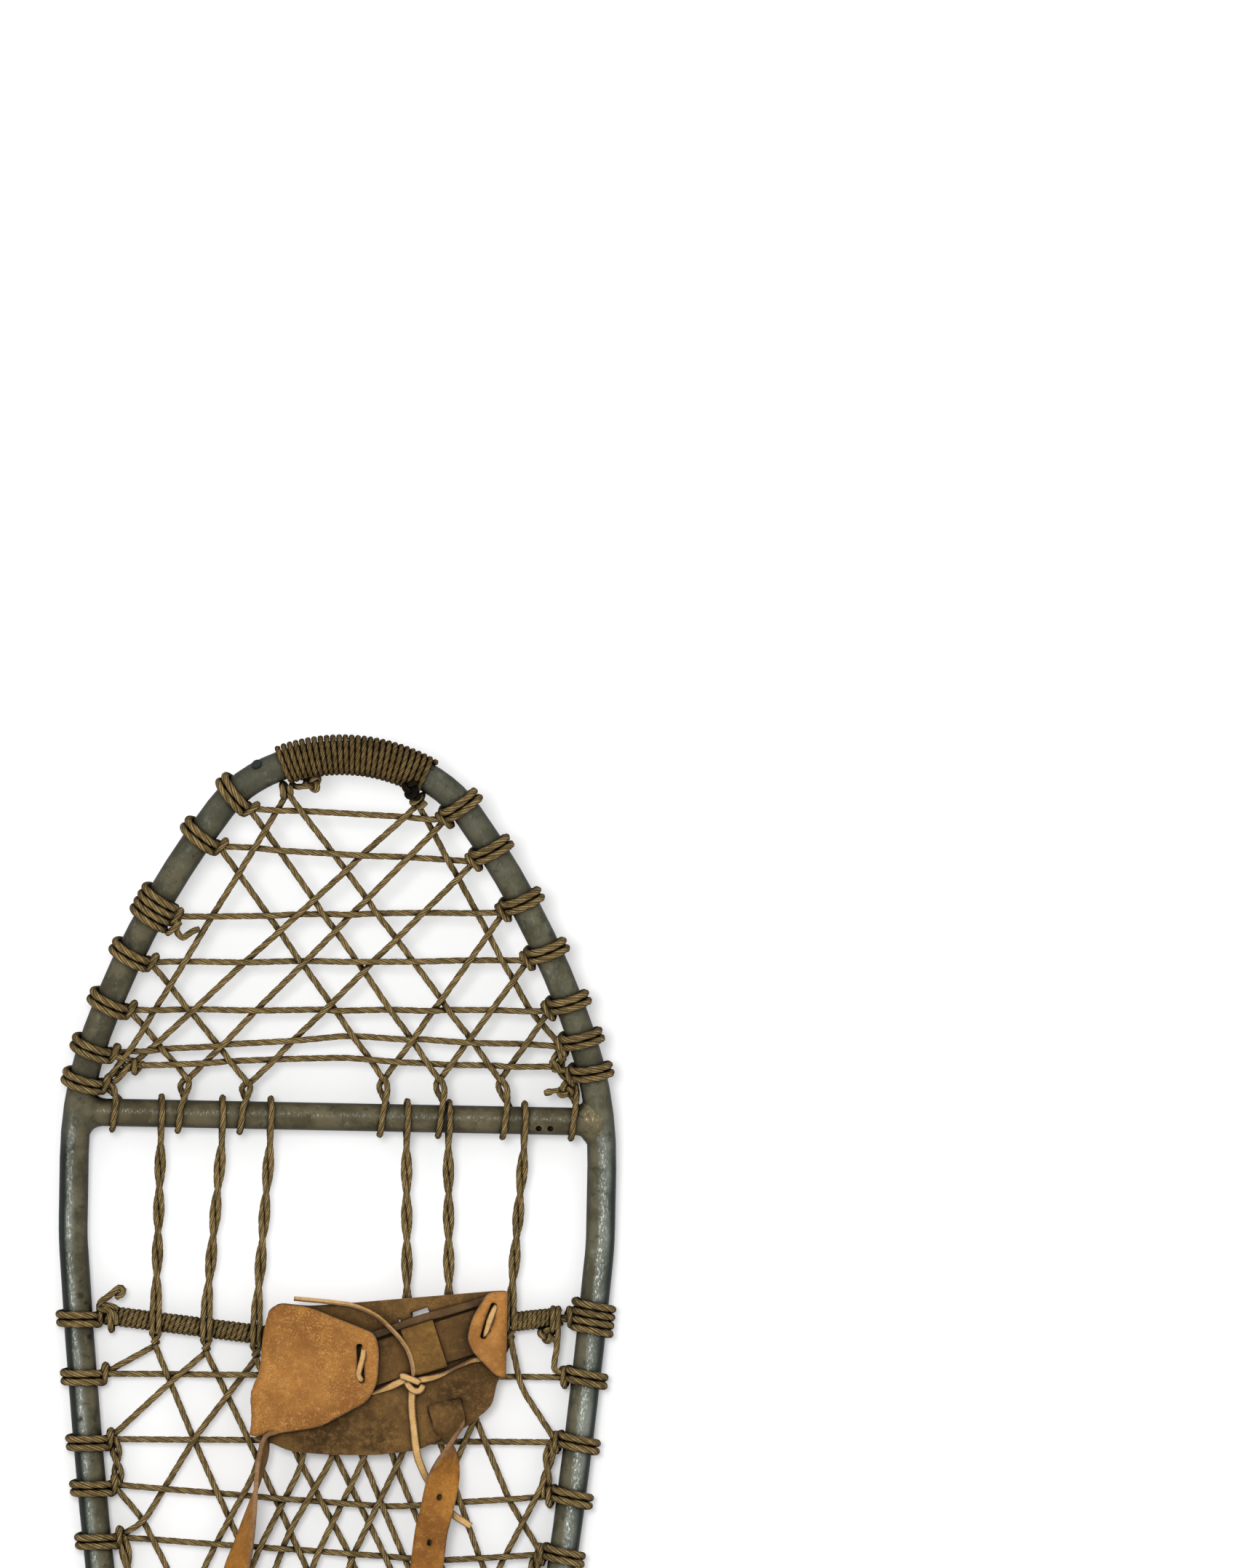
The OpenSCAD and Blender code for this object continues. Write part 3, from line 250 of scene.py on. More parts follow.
def rope(mesh, path, radius, step=STEP, mat=0, lay=ROPE_LAY, place=same, smooth=True, width=None):
    # three-strand cord along a path, as a twisted skin with rounded ends
    p = place(smooth_line(path, step) if smooth else even(np.asarray(path, float), step))
    t, n, b = frames(p)
    length = lengths(p)
    shape = np.array(ROPE_PROFILE * 3)
    k = np.arange(len(shape)) / len(shape)
    turn = 2 * math.pi * (k[None, :] + random.random() + length[:, None] / lay)
    r = radius * shape[None, :] * np.ones((len(p), 1))
    if width is not None:
        r *= np.interp(length / length[-1], np.linspace(0, 1, len(width)), width)[:, None]
    ring = p[:, None, :] + r[..., None] * (
        np.cos(turn)[..., None] * n[:, None, :] + np.sin(turn)[..., None] * b[:, None, :])
    close(mesh, p, t, ring, length, radius, mat)


def close(mesh, p, t, ring, length, radius, mat):
    # skin over rings, each end rounded off by one smaller ring and a flat cap
    m, sides = ring.shape[0], ring.shape[1]
    head = p[0] - t[0] * radius * 0.35 + (ring[0] - p[0]) * 0.6
    tail = p[-1] + t[-1] * radius * 0.35 + (ring[-1] - p[-1]) * 0.6
    verts = np.vstack([head[None], ring, tail[None]]).reshape(-1, 3)
    at = np.concatenate([[length[0] - radius * 0.5], length, [length[-1] + radius * 0.5]])
    faces, uvs = [], []
    for i in range(m + 1):
        for k in range(sides):
            j = (k + 1) % sides
            faces.append((i * sides + k, i * sides + j, (i + 1) * sides + j, (i + 1) * sides + k))
            u0, u1 = k / sides, (k + 1) / sides
            uvs.append(((u0, at[i]), (u1, at[i]), (u1, at[i + 1]), (u0, at[i + 1])))
    faces.append(tuple(range(sides - 1, -1, -1)))
    uvs.append(tuple((0.25, at[0]) for _ in range(sides)))
    o = (m + 1) * sides
    faces.append(tuple(range(o, o + sides)))
    uvs.append(tuple((0.25, at[-1]) for _ in range(sides)))
    mesh.add(verts, (faces, uvs, mat))


def ribbon(mesh, path, wide, thick, roll, mats=(0, 1, 2)):
    # flat strip of leather along a path: faces on top, below and at the edges get their own material
    p = smooth_line(path, STEP)
    t = unit_rows(np.gradient(p, axis=0))
    share = np.linspace(0, 1, len(p))
    angle = np.radians(np.interp(share, np.linspace(0, 1, len(roll)), roll))[:, None]
    w = np.interp(share, np.linspace(0, 1, len(wide)), wide)[:, None] / 2
    s = unit_rows(np.cross([[0, 0, 1.0]], t))
    n = np.cross(t, s)
    side = np.cos(angle) * s + np.sin(angle) * n
    over = np.cos(angle) * n - np.sin(angle) * s
    h = thick / 2
    e = min(0.35 * thick, 0.8)
    length = lengths(p)
    cross = [(-1, -e), (-0.5, 0), (0, 0), (0.5, 0), (1, e)]
    upper = [p + side * (a * w - inset) + over * h for a, inset in cross]
    lower = [p + side * (a * w - inset) - over * h for a, inset in reversed(cross)]
    right = [p + side * w + over * rise for rise in (h - e, e - h)]
    left = [p - side * w + over * rise for rise in (e - h, h - e)]
    ring = np.stack(upper + right + lower + left, 1)
    sides = ring.shape[1]
    kinds = [0] * 4 + [2] * 3 + [1] * 4 + [2] * 3
    u = [0, 0.25, 0.5, 0.75, 1, 1.02, 1.05, 1.07, 0.75, 0.5, 0.25, 0, -0.02, -0.05]
    by_kind = {0: ([], []), 1: ([], []), 2: ([], [])}
    for i in range(len(p) - 1):
        for k in range(sides):
            j = (k + 1) % sides
            f = (i * sides + k, (i + 1) * sides + k, (i + 1) * sides + j, i * sides + j)
            uv = ((u[k], length[i]), (u[k], length[i + 1]), (u[j], length[i + 1]), (u[j], length[i]))
            by_kind[kinds[k]][0].append(f)
            by_kind[kinds[k]][1].append(uv)
    o = (len(p) - 1) * sides
    by_kind[2][0].append(tuple(range(sides)))
    by_kind[2][1].append(tuple((0, 0) for _ in range(sides)))
    by_kind[2][0].append(tuple(range(o + sides - 1, o - 1, -1)))
    by_kind[2][1].append(tuple((0, length[-1]) for _ in range(sides)))
    groups = [(faces, uvs, mats[kind]) for kind, (faces, uvs) in by_kind.items()]
    mesh.add(ring.reshape(-1, 3), *groups)


# Looks: procedural materials
def srgb(r, g, b):
    return tuple(((c / 255 + 0.055) / 1.055) ** 2.4 for c in (r, g, b)) + (1.0,)


class Look:
    # one material: most methods add a node and return the socket with its result

    def __init__(self, name):
        self.m = bpy.data.materials.new(name)
        self.m.use_nodes = True
        self.tree = self.m.node_tree
        self.shader = self.tree.nodes["Principled BSDF"]
        self.place = self.tree.nodes.new("ShaderNodeTexCoord").outputs["Object"]

    def new(self, kind, inputs=None, **settings):
        n = self.tree.nodes.new(kind)
        for key, value in settings.items():
            setattr(n, key, value)
        for key, value in (inputs or {}).items():
            self.put(n.inputs[key], value)
        return n

    def put(self, socket, value):
        if isinstance(value, bpy.types.NodeSocket):
            self.tree.links.new(value, socket)
        else:
            socket.default_value = value

    def set(self, **values):
        for key, value in values.items():
            self.put(self.shader.inputs[key.replace("_", " ")], value)

    def split(self, vector):
        return self.new("ShaderNodeSeparateXYZ", {0: vector}).outputs

    def ridges(self, count):
        # 0 in the valleys and 1 on the crests of so many ridges round a cord, which u goes round once
        u = self.split(self.new("ShaderNodeUVMap", uv_map="lay").outputs[0])[0]
        return self.times(self.math("PINGPONG", self.times(u, count), 0.5), 2.0)

    def normal(self):
        return self.split(self.new("ShaderNodeNewGeometry").outputs["Normal"])

    def noise(self, scale, detail, rough=0.55, stretch=None, twist=0.0):
        source = self.place
        if stretch:
            source = self.new("ShaderNodeMapping", {"Vector": source, "Scale": stretch}).outputs[0]
        inputs = {"Vector": source, "Scale": scale, "Detail": detail, "Roughness": rough, "Distortion": twist}
        return self.new("ShaderNodeTexNoise", inputs).outputs["Fac"]

    def cells(self, scale):
        return self.new("ShaderNodeTexVoronoi", {"Vector": self.place, "Scale": scale}).outputs["Distance"]

    def math(self, kind, a, b=0.0, clamp=False):
        return self.new("ShaderNodeMath", {0: a, 1: b}, operation=kind, use_clamp=clamp).outputs[0]

    def times(self, a, b):
        return self.math("MULTIPLY", a, b)

    def plus(self, a, b):
        return self.math("ADD", a, b)

    def step(self, value, low, high, to_low=0.0, to_high=1.0):
        inputs = {"Value": value, "From Min": low, "From Max": high, "To Min": to_low, "To Max": to_high}
        return self.new("ShaderNodeMapRange", inputs, interpolation_type="SMOOTHSTEP").outputs["Result"]

    def mix(self, share, a, b):
        return self.new("ShaderNodeMix", {0: share, 6: a, 7: b}, data_type="RGBA").outputs[2]

    def shade(self, colour, value):
        # colour times a grey value
        return self.new("ShaderNodeVectorMath", {0: colour, "Scale": value}, operation="SCALE").outputs[0]

    def spots(self, places):
        # 1 near one of the places, seen from above: each has x, y and reach in shoe millimetres
        east, north, _ = self.split(self.place)
        total = None
        for x, y, reach in places:
            p = row([x, y, 0])
            a = self.math("SUBTRACT", east, float(p[0]))
            b = self.math("SUBTRACT", north, float(p[1]))
            near = self.plus(self.times(a, a), self.times(b, b))
            near = self.step(near, 0.0, (reach / 1000) ** 2, 1.0, 0.0)
            total = near if total is None else self.math("MAXIMUM", total, near)
        return total

    def painted_occlusion_shade(self, reach, least):
        # painted shade: colour darkened where another surface is close by, from an ambient occlusion node
        n = self.new("ShaderNodeAmbientOcclusion", {"Distance": reach}, samples=8)
        return self.step(n.outputs["AO"], 0.3, 1.0, least, 1.0)

    def bump(self, strength, distance, *heights):
        # heights are values with their shares of the height
        height = None
        for value, share in heights:
            part = self.times(value, share)
            height = part if height is None else self.plus(height, part)
        inputs = {"Height": height, "Strength": strength, "Distance": distance}
        self.set(Normal=self.new("ShaderNodeBump", inputs).outputs[0])


def rope_material(name, *tones):
    # the texture places turn with the cord, so strands and yarns need no twist of their own
    dark, base, other, light = (srgb(*c) for c in tones)
    k = Look(name)
    strand, yarn = k.ridges(3.0), k.ridges(8.0)
    fibre = k.noise(1500, 3, 0.7)
    worn = k.noise(230, 4, 0.65)
    groove = k.step(strand, 0.0, 0.34)
    furrow = k.step(yarn, 0.0, 0.75)
    colour = k.mix(k.step(k.noise(45, 3), 0.35, 0.65), base, other)
    # lighter yarn crests in patches: partly rubbed fibres, partly a painted highlight
    colour = k.mix(k.times(k.step(yarn, 0.4, 1.0), k.step(worn, 0.36, 0.66)), colour, light)
    colour = k.mix(k.step(fibre, 0.52, 0.74, 0.0, 0.45), colour, dark)
    # painted shade: darker lines in the yarn valleys and in the valleys between strands
    line = k.times(k.step(furrow, 0.0, 1.0, 0.66, 0.0), k.step(worn, 0.3, 0.62, 1.0, 0.4))
    colour = k.mix(line, colour, dark)
    colour = k.mix(k.step(groove, 0.0, 1.0, 0.7, 0.0), colour, dark)
    # painted shade: the cord's colour is darker on its flanks and underside, as if lit from above, and darker
    # where another surface is close by
    low = k.times(k.step(k.normal()[2], -0.1, 0.8, 0.3, 1.0), k.painted_occlusion_shade(0.004, 0.05))
    k.set(Base_Color=k.shade(colour, low), Roughness=0.86, Specular_IOR_Level=0.06)
    k.bump(0.6, 0.0006, (groove, 0.3), (furrow, 0.4), (fibre, 0.3))
    return k.m


def metal_material(name, outer, stripe, tones, pits=(), rim=(-0.85, -0.45)):
    # outer: the side that a tube turns outside, or 0; stripe: place, width and strength of the light stripe,
    # worn bare metal with a painted highlight where the light falls on the tube
    stripe_at, stripe_wide, stripe_gain = stripe
    paint, paint_dark, bare, bare_dark, dirt_and_shade_tone, fleck_and_glint_tone = (srgb(*c) for c in tones)
    k = Look(name)
    y = k.split(k.place)[1]
    nx, ny, nz = k.normal()
    across = k.times(nx, float(-outer)) if outer else ny
    patch = k.noise(22, 7, 0.62)
    streak = k.noise(75, 5, 0.6, stretch=(2.5, 0.4, 2.5))
    fine = k.noise(600, 4, 0.65)
    flecks = k.noise(780, 5, 0.72, stretch=(1.3, 0.5, 1.3))
    loose = k.math("SUBTRACT", patch, 0.5)
    painted = k.mix(k.step(k.noise(70, 5, 0.6), 0.38, 0.62), paint_dark, paint)
    metal = k.mix(k.step(k.noise(34, 5, 0.6), 0.36, 0.64), bare_dark, bare)
    worn = k.step(k.plus(patch, k.times(streak, 0.3)), 0.42, 0.56, 0.4, 0.0)
    # stripe placed by which way the surface faces: worn bare metal with a painted highlight
    off = k.math("SUBTRACT", k.plus(across, k.times(loose, 0.5)), stripe_at)
    wear_and_highlight_band = k.step(k.math("ABSOLUTE", off), 0.0, stripe_wide, 1.0, 0.0)
    if outer:
        foot = k.step(y, 0.375, 0.412, 1.0, 0.0)
        ragged = k.plus(across, k.times(loose, 1.1))
        worn = k.math("MAXIMUM", worn, k.times(k.step(ragged, -0.45, 0.4, 0.9, 0.0), foot))
        wear_and_highlight_band = k.times(wear_and_highlight_band, k.step(foot, 0.0, 1.0, 0.06, 1.0))
        painted = k.mix(k.step(y, 0.5, 0.6, 0.0, 0.6), painted, srgb(72, 74, 62))
    # flecks in the stripe: bare metal flecks with painted glints
    fleck_and_glint = k.times(k.step(flecks, 0.5, 0.64), wear_and_highlight_band)
    colour = k.mix(worn, painted, metal)
    colour = k.mix(k.times(wear_and_highlight_band, 0.6 * stripe_gain), colour, bare)
    colour = k.mix(k.math("MULTIPLY", fleck_and_glint, stripe_gain, True), colour, fleck_and_glint_tone)
    rub = k.noise(95, 5, 0.7, stretch=(1.4, 0.8, 1.4))
    colour = k.mix(k.step(rub, 0.57, 0.7, 0.0, 0.42), colour, bare)
    colour = k.mix(k.step(k.noise(150, 6, 0.72), 0.53, 0.7, 0.0, 0.6), colour, dirt_and_shade_tone)
    if outer:
        # painted shade: the tube's outer flank behind the crossbar darker
        colour = k.mix(k.times(k.step(across, *rim, 0.95, 0.0), foot), colour, dirt_and_shade_tone)
    if pits:
        rust = k.times(k.spots(pits), k.step(fine, 0.3, 0.6, 0.6, 0.95))
        colour = k.mix(rust, colour, srgb(38, 30, 18))
    # painted shade: colour darker on the flanks and underside, as if lit from above, and darker where another
    # surface is close by
    painted_shade = k.times(k.step(nz, 0.15, 0.92, 0.16, 1.0), k.painted_occlusion_shade(0.008, 0.1))
    shine = k.math("MAXIMUM", k.times(worn, 0.4), k.times(fleck_and_glint, 0.7))
    shine = k.times(shine, k.step(nz, 0.4, 0.85))
    rough = k.plus(k.step(shine, 0.0, 0.7, 0.36, 0.3), k.times(fine, 0.16))
    k.set(Base_Color=k.shade(colour, painted_shade), Metallic=shine, Roughness=rough)
    k.set(Specular_IOR_Level=0.12, IOR=1.4)
    k.bump(0.4, 0.0006, (flecks, 0.5), (fine, 0.25), (worn, -0.4))
    return k.m


def leather_material(name, tones, speckle, grain, rough, stain=0.5, stains=()):
    # speckle is how much of the surface the pale rubbed spots cover, grain the pebble's depth
    dark, base, light = (srgb(*c) for c in tones)
    k = Look(name)
    blot = k.noise(85, 5, 0.65)
    spots = k.noise(1250, 3, 0.6, twist=0.3)
    fibre = k.noise(1500, 3, 0.7)
    mottle = k.noise(270, 5, 0.72)
    colour = k.mix(k.step(k.noise(32, 5, 0.6), 0.32, 0.68), dark, base)
    rubbed = k.step(spots, 0.6 - speckle, 0.78 - speckle)
    colour = k.mix(k.times(rubbed, k.step(blot, 0.36, 0.62, 0.08, 1.0)), colour, light)
    colour = k.mix(k.step(blot, 0.54, 0.74, 0.0, stain), colour, dark)
    colour = k.mix(k.step(mottle, 0.5, 0.7, 0.0, 0.4), colour, dark)
    colour = k.mix(k.step(mottle, 0.34, 0.5, 0.3, 0.0), colour, light)
    if stains:
        soaked = k.times(k.spots(stains), k.step(mottle, 0.4, 0.62, 0.1, 0.6))
        colour = k.mix(soaked, colour, srgb(40, 28, 17))
    colour = k.mix(k.step(k.noise(900, 2, 0.6), 0.58, 0.68, 0.0, 0.6), colour, dark)
    colour = k.mix(k.step(fibre, 0.5, 0.8, 0.0, 0.3), colour, dark)
    # painted shade: colour darker where another surface is close by
    k.set(Base_Color=k.shade(colour, k.painted_occlusion_shade(0.008, 0.15)), Roughness=k.plus(rough, k.times(blot, 0.2)))
    k.set(Specular_IOR_Level=0.12)
    k.bump(0.5, 0.0007, (k.cells(800), grain), (fibre, 0.5), (spots, 0.6))
    return k.m


rope_look = rope_material("cord_brown", (46, 35, 19), (124, 103, 65), (106, 89, 56), (180, 155, 106))
# the toe wrap's cord is a darker copy of the cord: painted shade between its tight turns
wrap_look = rope_material("cord_wrap", (36, 27, 14), (106, 85, 50), (90, 73, 43), (160, 134, 86))
tar_look = rope_material("cord_tarred", (10, 8, 5), (26, 21, 14), (18, 14, 9), (52, 43, 29))
flesh_look = leather_material("leather_flesh", [(76, 55, 29), (122, 91, 50), (146, 113, 69)], 0.04, 0.1, 0.8,
                              stains=[(-4, -174, 24), (24, -176, 16), (66, -150, 12)])
grain_look = leather_material("leather_grain", [(126, 81, 36), (168, 115, 55), (202, 150, 82)],
                              0.1, 0.5, 0.5, 0.4)
tan_look = leather_material("leather_tan", [(134, 88, 40), (182, 126, 62), (206, 152, 86)],
                            0.0, 0.3, 0.42, 0.3)
strap_look = leather_material("leather_strap", [(118, 74, 28), (166, 112, 46), (194, 142, 68)],
                              0.04, 0.5, 0.48, 0.35)
edge_look = leather_material("leather_edge", [(98, 70, 46), (150, 116, 84), (184, 150, 114)], 0.0, 0.1, 0.8)
dark_edge_look = leather_material("leather_edge_dark", [(34, 24, 14), (56, 41, 25), (80, 61, 40)],
                                  0.0, 0.1, 0.8)
band_look = leather_material("leather_band", [(66, 47, 25), (104, 75, 39), (130, 99, 54)], 0.02, 0.2, 0.66)
keeper_look = leather_material("leather_keeper", [(80, 57, 27), (124, 90, 43), (150, 114, 58)],
                               0.05, 0.2, 0.6)
hide_look = leather_material("rawhide", [(160, 120, 68), (206, 166, 106), (228, 196, 142)],
                             0.02, 0.1, 0.5, 0.3)
dark_hide_look = leather_material("rawhide_dark", [(66, 47, 28), (98, 74, 46), (130, 102, 68)], 0.0, 0.1, 0.6)
left_metal = metal_material(
    "metal_left", -1, (-0.3, 0.36, 0.62),
    [(93, 87, 67), (68, 64, 48), (124, 128, 119), (74, 79, 69), (28, 35, 29), (230, 232, 226)],
    pits=[(-140, -101, 2.6), (-134.6, -123.6, 2.2), (-139, -169, 2.4), (-137, -105, 1.4)], rim=(-0.66, -0.3))
right_metal = metal_material(
    "metal_right", 1, (-0.12, 0.44, 0.74),
    [(96, 92, 73), (74, 71, 54), (128, 133, 124), (78, 84, 76), (28, 36, 32), (232, 235, 228)])
bar_metal = metal_material(
    "metal_bar", 0, (0.16, 0.34, 0.17),
    [(95, 87, 65), (72, 66, 47), (128, 128, 112), (86, 86, 72), (42, 40, 28), (190, 192, 180)])
weld_metal = metal_material(
    "metal_weld", 0, (0.1, 0.5, 0.45),
    [(100, 92, 69), (78, 71, 52), (128, 118, 88), (90, 83, 62), (44, 40, 28), (222, 206, 156)])
rivet_metal = metal_material(
    "metal_rivet", 0, (0.0, 0.5, 0.4),
    [(66, 71, 68), (44, 49, 48), (104, 110, 108), (70, 76, 74), (26, 30, 29), (200, 206, 206)])
bright_metal = metal_material(
    "metal_bright", 0, (0.0, 0.8, 1.0),
    [(128, 126, 112), (96, 94, 80), (158, 158, 150), (112, 112, 104), (60, 58, 48), (220, 221, 214)])


# Net points, as the solids have them
TOE_LEFT = [177, 154, 114, 88, 61, 36, 18]
TOE_RIGHT = [172, 148, 120, 93, 65, 45, 27]
TOE_LEFT_TURNS = [2, 2, 4, 2, 2, 2, 2]
FOOT_LEFT = [-145, -181, -206, -235, -268, -298, -328, -358, -388, -418]
FOOT_RIGHT = [-142, -178, -208, -240, -268, -298, -328, -358, -388, -418]
TAIL_NET = [-495, -540, -585, -630, -675, -720]


def eyes(spot, side, along):
    # where cords of the net leave the hitches at these places along the tube
    return [off_spot(spot(y, side), EYE) for y in along]


eye_l, eye_r = eyes(toe_spot, -1, TOE_LEFT), eyes(toe_spot, 1, TOE_RIGHT)
foot_l, foot_r = eyes(foot_spot, -1, FOOT_LEFT), eyes(foot_spot, 1, FOOT_RIGHT)
tail_l, tail_r = eyes(foot_spot, -1, TAIL_NET), eyes(foot_spot, 1, TAIL_NET)


def on_toe(x, y):
    return np.array([x, plan_s(y)])


knot_l, knot_r = on_toe(-114, 26), on_toe(118, 30)
anchor_l, anchor_r = polar(-23.3, 77.7), polar(31.5, 77.7)
LOOP_X = [-123, -87, -53, 24, 56, 91.5, 129]
split = [eye_l[6], on_toe(-83, 19), on_toe(-49.5, 17), on_toe(24.5, 21), on_toe(55, 21.5),
         on_toe(88.5, 22), eye_r[6]]
REAR_Y = -455
REAR_X = [k * 78 for k in (-1, -0.59, -0.19, 0.19, 0.59, 1)]
rear_up = [np.array([x, REAR_Y + 14]) for x in REAR_X]
rear_down = [np.array([x, REAR_Y - 14]) for x in REAR_X]

# Cross cord between its hitches, and the serving that is wound on it
CROSS_LEFT, CROSS_RIGHT = foot_spot(-113, -1), foot_spot(-109, 1)
cross_a, cross_d = off_spot(CROSS_LEFT, 15.6), off_spot(CROSS_RIGHT, 15.6)
cross_b, cross_c = np.array([-40, -121.0]), np.array([100, -111.0])
CORE_R, SERVE_R, SERVE_PATH = 2.3, 1.55, 3.85


def cross_y(x):
    bends = (cross_a, cross_b, cross_c, cross_d)
    return float(np.interp(x, [p[0] for p in bends], [p[1] for p in bends]))


HOLE_LEFT = [(-97.5, -98.5), (-64, -70.5), (-37.5, -43)]
HOLE_RIGHT = [(37.5, 39.5), (60.5, 62.5), (102, 96.5)]
MIDDLE_X = [-24, -8, 12]
mid_split = [np.array([x, cross_y(x) - (13.2 if x < -40 else 8.5)]) for x in
             [p[1] for p in HOLE_LEFT] + MIDDLE_X + [p[1] for p in HOLE_RIGHT]]

ROWS, BACK, FORE = 0, 1, 2
TOE_NET = {
    ROWS: [[eye_l[i], eye_r[i]] for i in range(5)]
    + [[eye_l[5], on_toe(4, 44.5), eye_r[5]], [knot_l, on_toe(4, 33), on_toe(57, 29.5), knot_r]],
    BACK: [[eye_l[0], split[4]], [eye_l[1], split[3]], [eye_l[3], split[2]], [eye_l[4], split[1]],
           [anchor_l, split[5]], [anchor_r, on_toe(104, 60), eye_r[5]]],
    FORE: [[anchor_l, on_toe(-113, 38), eye_l[6]], [anchor_r, knot_l], [eye_r[0], split[1]],
           [eye_r[1], split[2]], [eye_r[2], split[3]], [eye_r[3], split[4]], [eye_r[4], split[5]]],
}
FOOT_NET = {
    ROWS: [[foot_l[i], foot_r[i]] for i in (0, 1, 4, 5, 6, 7, 8, 9)]
    + [[foot_l[2], (-23, -211), (33, -214), foot_r[2]], [foot_l[3], (7, -240), (60, -243), foot_r[3]]],
    BACK: [
        [mid_split[0], (-76, -180), (-50, -235), rear_up[4]],
        [mid_split[1], (-47, -177), (-18, -238), rear_up[5]],
        [mid_split[2], (-20, -186), (9, -238), foot_r[9]],
        [mid_split[3], (2, -187), (30, -241), foot_r[8]],
        [mid_split[4], (16, -186), (40, -241), foot_r[7]],
        [mid_split[5], (36, -194), (48, -222), foot_r[6]],
        [mid_split[6], (68, -203), (83, -244), foot_r[5]],
        [mid_split[7], (79, -166), (98, -210), foot_r[3]],
        [mid_split[8], (103, -147), foot_r[1]],
        [foot_l[2], (-104, -223), (-90, -249), rear_up[2]],
        [foot_l[3], rear_up[1]],
        [foot_l[5], (-88, -330), rear_up[0]]],
    FORE: [
        [mid_split[0], foot_l[0]],
        [mid_split[1], (-91, -149), foot_l[1]],
        [mid_split[2], (-75, -177), (-103, -225), foot_l[3]],
        [mid_split[3], (-43, -198), (-62, -234), foot_l[6]],
        [mid_split[4], (-17, -193), (-39, -238), foot_l[8]],
        [mid_split[5], (0, -188), (-23, -229), foot_l[9]],
        [mid_split[6], (16, -191), (-6, -238), rear_up[0]],
        [mid_split[7], (38, -186), (12, -242), rear_up[1]],
        [mid_split[8], (77, -167), (58, -213), rear_up[2]],
        [foot_r[1], (116, -200), (93, -246), rear_up[3]],
        [foot_r[3], rear_up[4]],
        [foot_r[5], (88, -330), rear_up[5]]],
}
TAIL = {
    ROWS: [[a, b] for a, b in zip(tail_l, tail_r)],
    BACK: [[rear_down[0], tail_r[3]], [rear_down[2], tail_r[2]], [rear_down[4], tail_r[0]],
           [tail_l[0], tail_r[4]], [tail_l[2], tail_r[5]]],
    FORE: [[rear_down[5], tail_l[3]], [rear_down[3], tail_l[2]], [rear_down[1], tail_l[0]],
           [tail_r[0], tail_l[4]], [tail_r[2], tail_l[5]]],
}


def crossing(p, q, a, b):
    # shares along two straight runs where they cross, or None
    d, e = q - p, b - a
    k = d[0] * e[1] - d[1] * e[0]
    if abs(k) < 1e-9:
        return None
    t = ((a[0] - p[0]) * e[1] - (a[1] - p[1]) * e[0]) / k
    u = ((a[0] - p[0]) * d[1] - (a[1] - p[1]) * d[0]) / k
    return (t, u) if 0 < t < 1 and 0 < u < 1 else None


# Rise where strands cross, and the heights of the ends of rows and of both diagonals
LIFT, END_LIFT = 1.7, (0.0, 1.2, -1.2)


def woven(net):
    # each strand's points with its rises and dips: slanting strands cross "/" over "\",
    # rows go over and under in turn
    strands = [(kind, i, [np.asarray(p, float) for p in line])
               for kind in (ROWS, BACK, FORE) for i, line in enumerate(net[kind])]
    marks = [[] for _ in strands]
    for a in range(len(strands)):
        for b in range(a + 1, len(strands)):
            ka, ia, la = strands[a]
            kb, ib, lb = strands[b]
            if ka == kb:
                continue
            at_a = 0.0
            for p, q in zip(la[:-1], la[1:]):
                at_b = 0.0
                for r, s in zip(lb[:-1], lb[1:]):
                    hit = crossing(p, q, r, s)
                    if hit:
                        over = (ia + ib + kb) % 2 == 0 if ka == ROWS else False
                        lift = LIFT if over else -LIFT
                        marks[a].append((at_a + hit[0] * np.linalg.norm(q - p), lift))
                        marks[b].append((at_b + hit[1] * np.linalg.norm(s - r), -lift))
                    at_b += np.linalg.norm(s - r)
                at_a += np.linalg.norm(q - p)
    lines = {ROWS: [], BACK: [], FORE: []}
    for (kind, i, line), found in zip(strands, marks):
        lines[kind].append(raised(line, found, END_LIFT[kind]))
    return lines


def raised(line, found, ends):
    p = even(rounded(line, 7), STEP)
    length = lengths(p)
    total = length[-1]
    found = sorted(f for f in found if 4 < f[0] < total - 4)
    at = [0.0] + [f[0] for f in found] + [total]
    lift = [ends] + [f[1] for f in found] + [ends]
    k = np.clip(np.searchsorted(at, length, side="right") - 1, 0, len(at) - 2)
    at, lift = np.array(at), np.array(lift)
    t = np.clip((length - at[k]) / np.maximum(at[k + 1] - at[k], 1e-6), 0, 1)
    z = lift[k] + (lift[k + 1] - lift[k]) * (t * t * (3 - 2 * t))
    return np.column_stack([p, z])


def rounded(line, cut):
    # a bent line with its corners eased
    line = [np.asarray(p, float) for p in line]
    out = [line[0]]
    for a, b, c in zip(line[:-2], line[1:-1], line[2:]):
        d = min(cut, np.linalg.norm(b - a) / 2.2, np.linalg.norm(c - b) / 2.2)
        p, q = b + unit(a - b) * d, b + unit(c - b) * d
        for t in np.linspace(0, 1, 7):
            out.append((1 - t) ** 2 * p + 2 * t * (1 - t) * b + t * t * q)
    out.append(line[-1])
    return np.array(out)


def dress(mesh, name, materials, slot, *nodes, body="frame"):
    ob = mesh.make(name, materials)
    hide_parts(*nodes)
    if body:
        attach(ob, body)
    return ob


def cord_piece(mesh, node, look=rope_look):
    dress(mesh, node + "_cord", [look], "cord", node)


def net_piece(lines, place, node):
    mesh = Mesh()
    for line in lines:
        rope(mesh, line, NET_R, place=place, smooth=False)
    cord_piece(mesh, node)


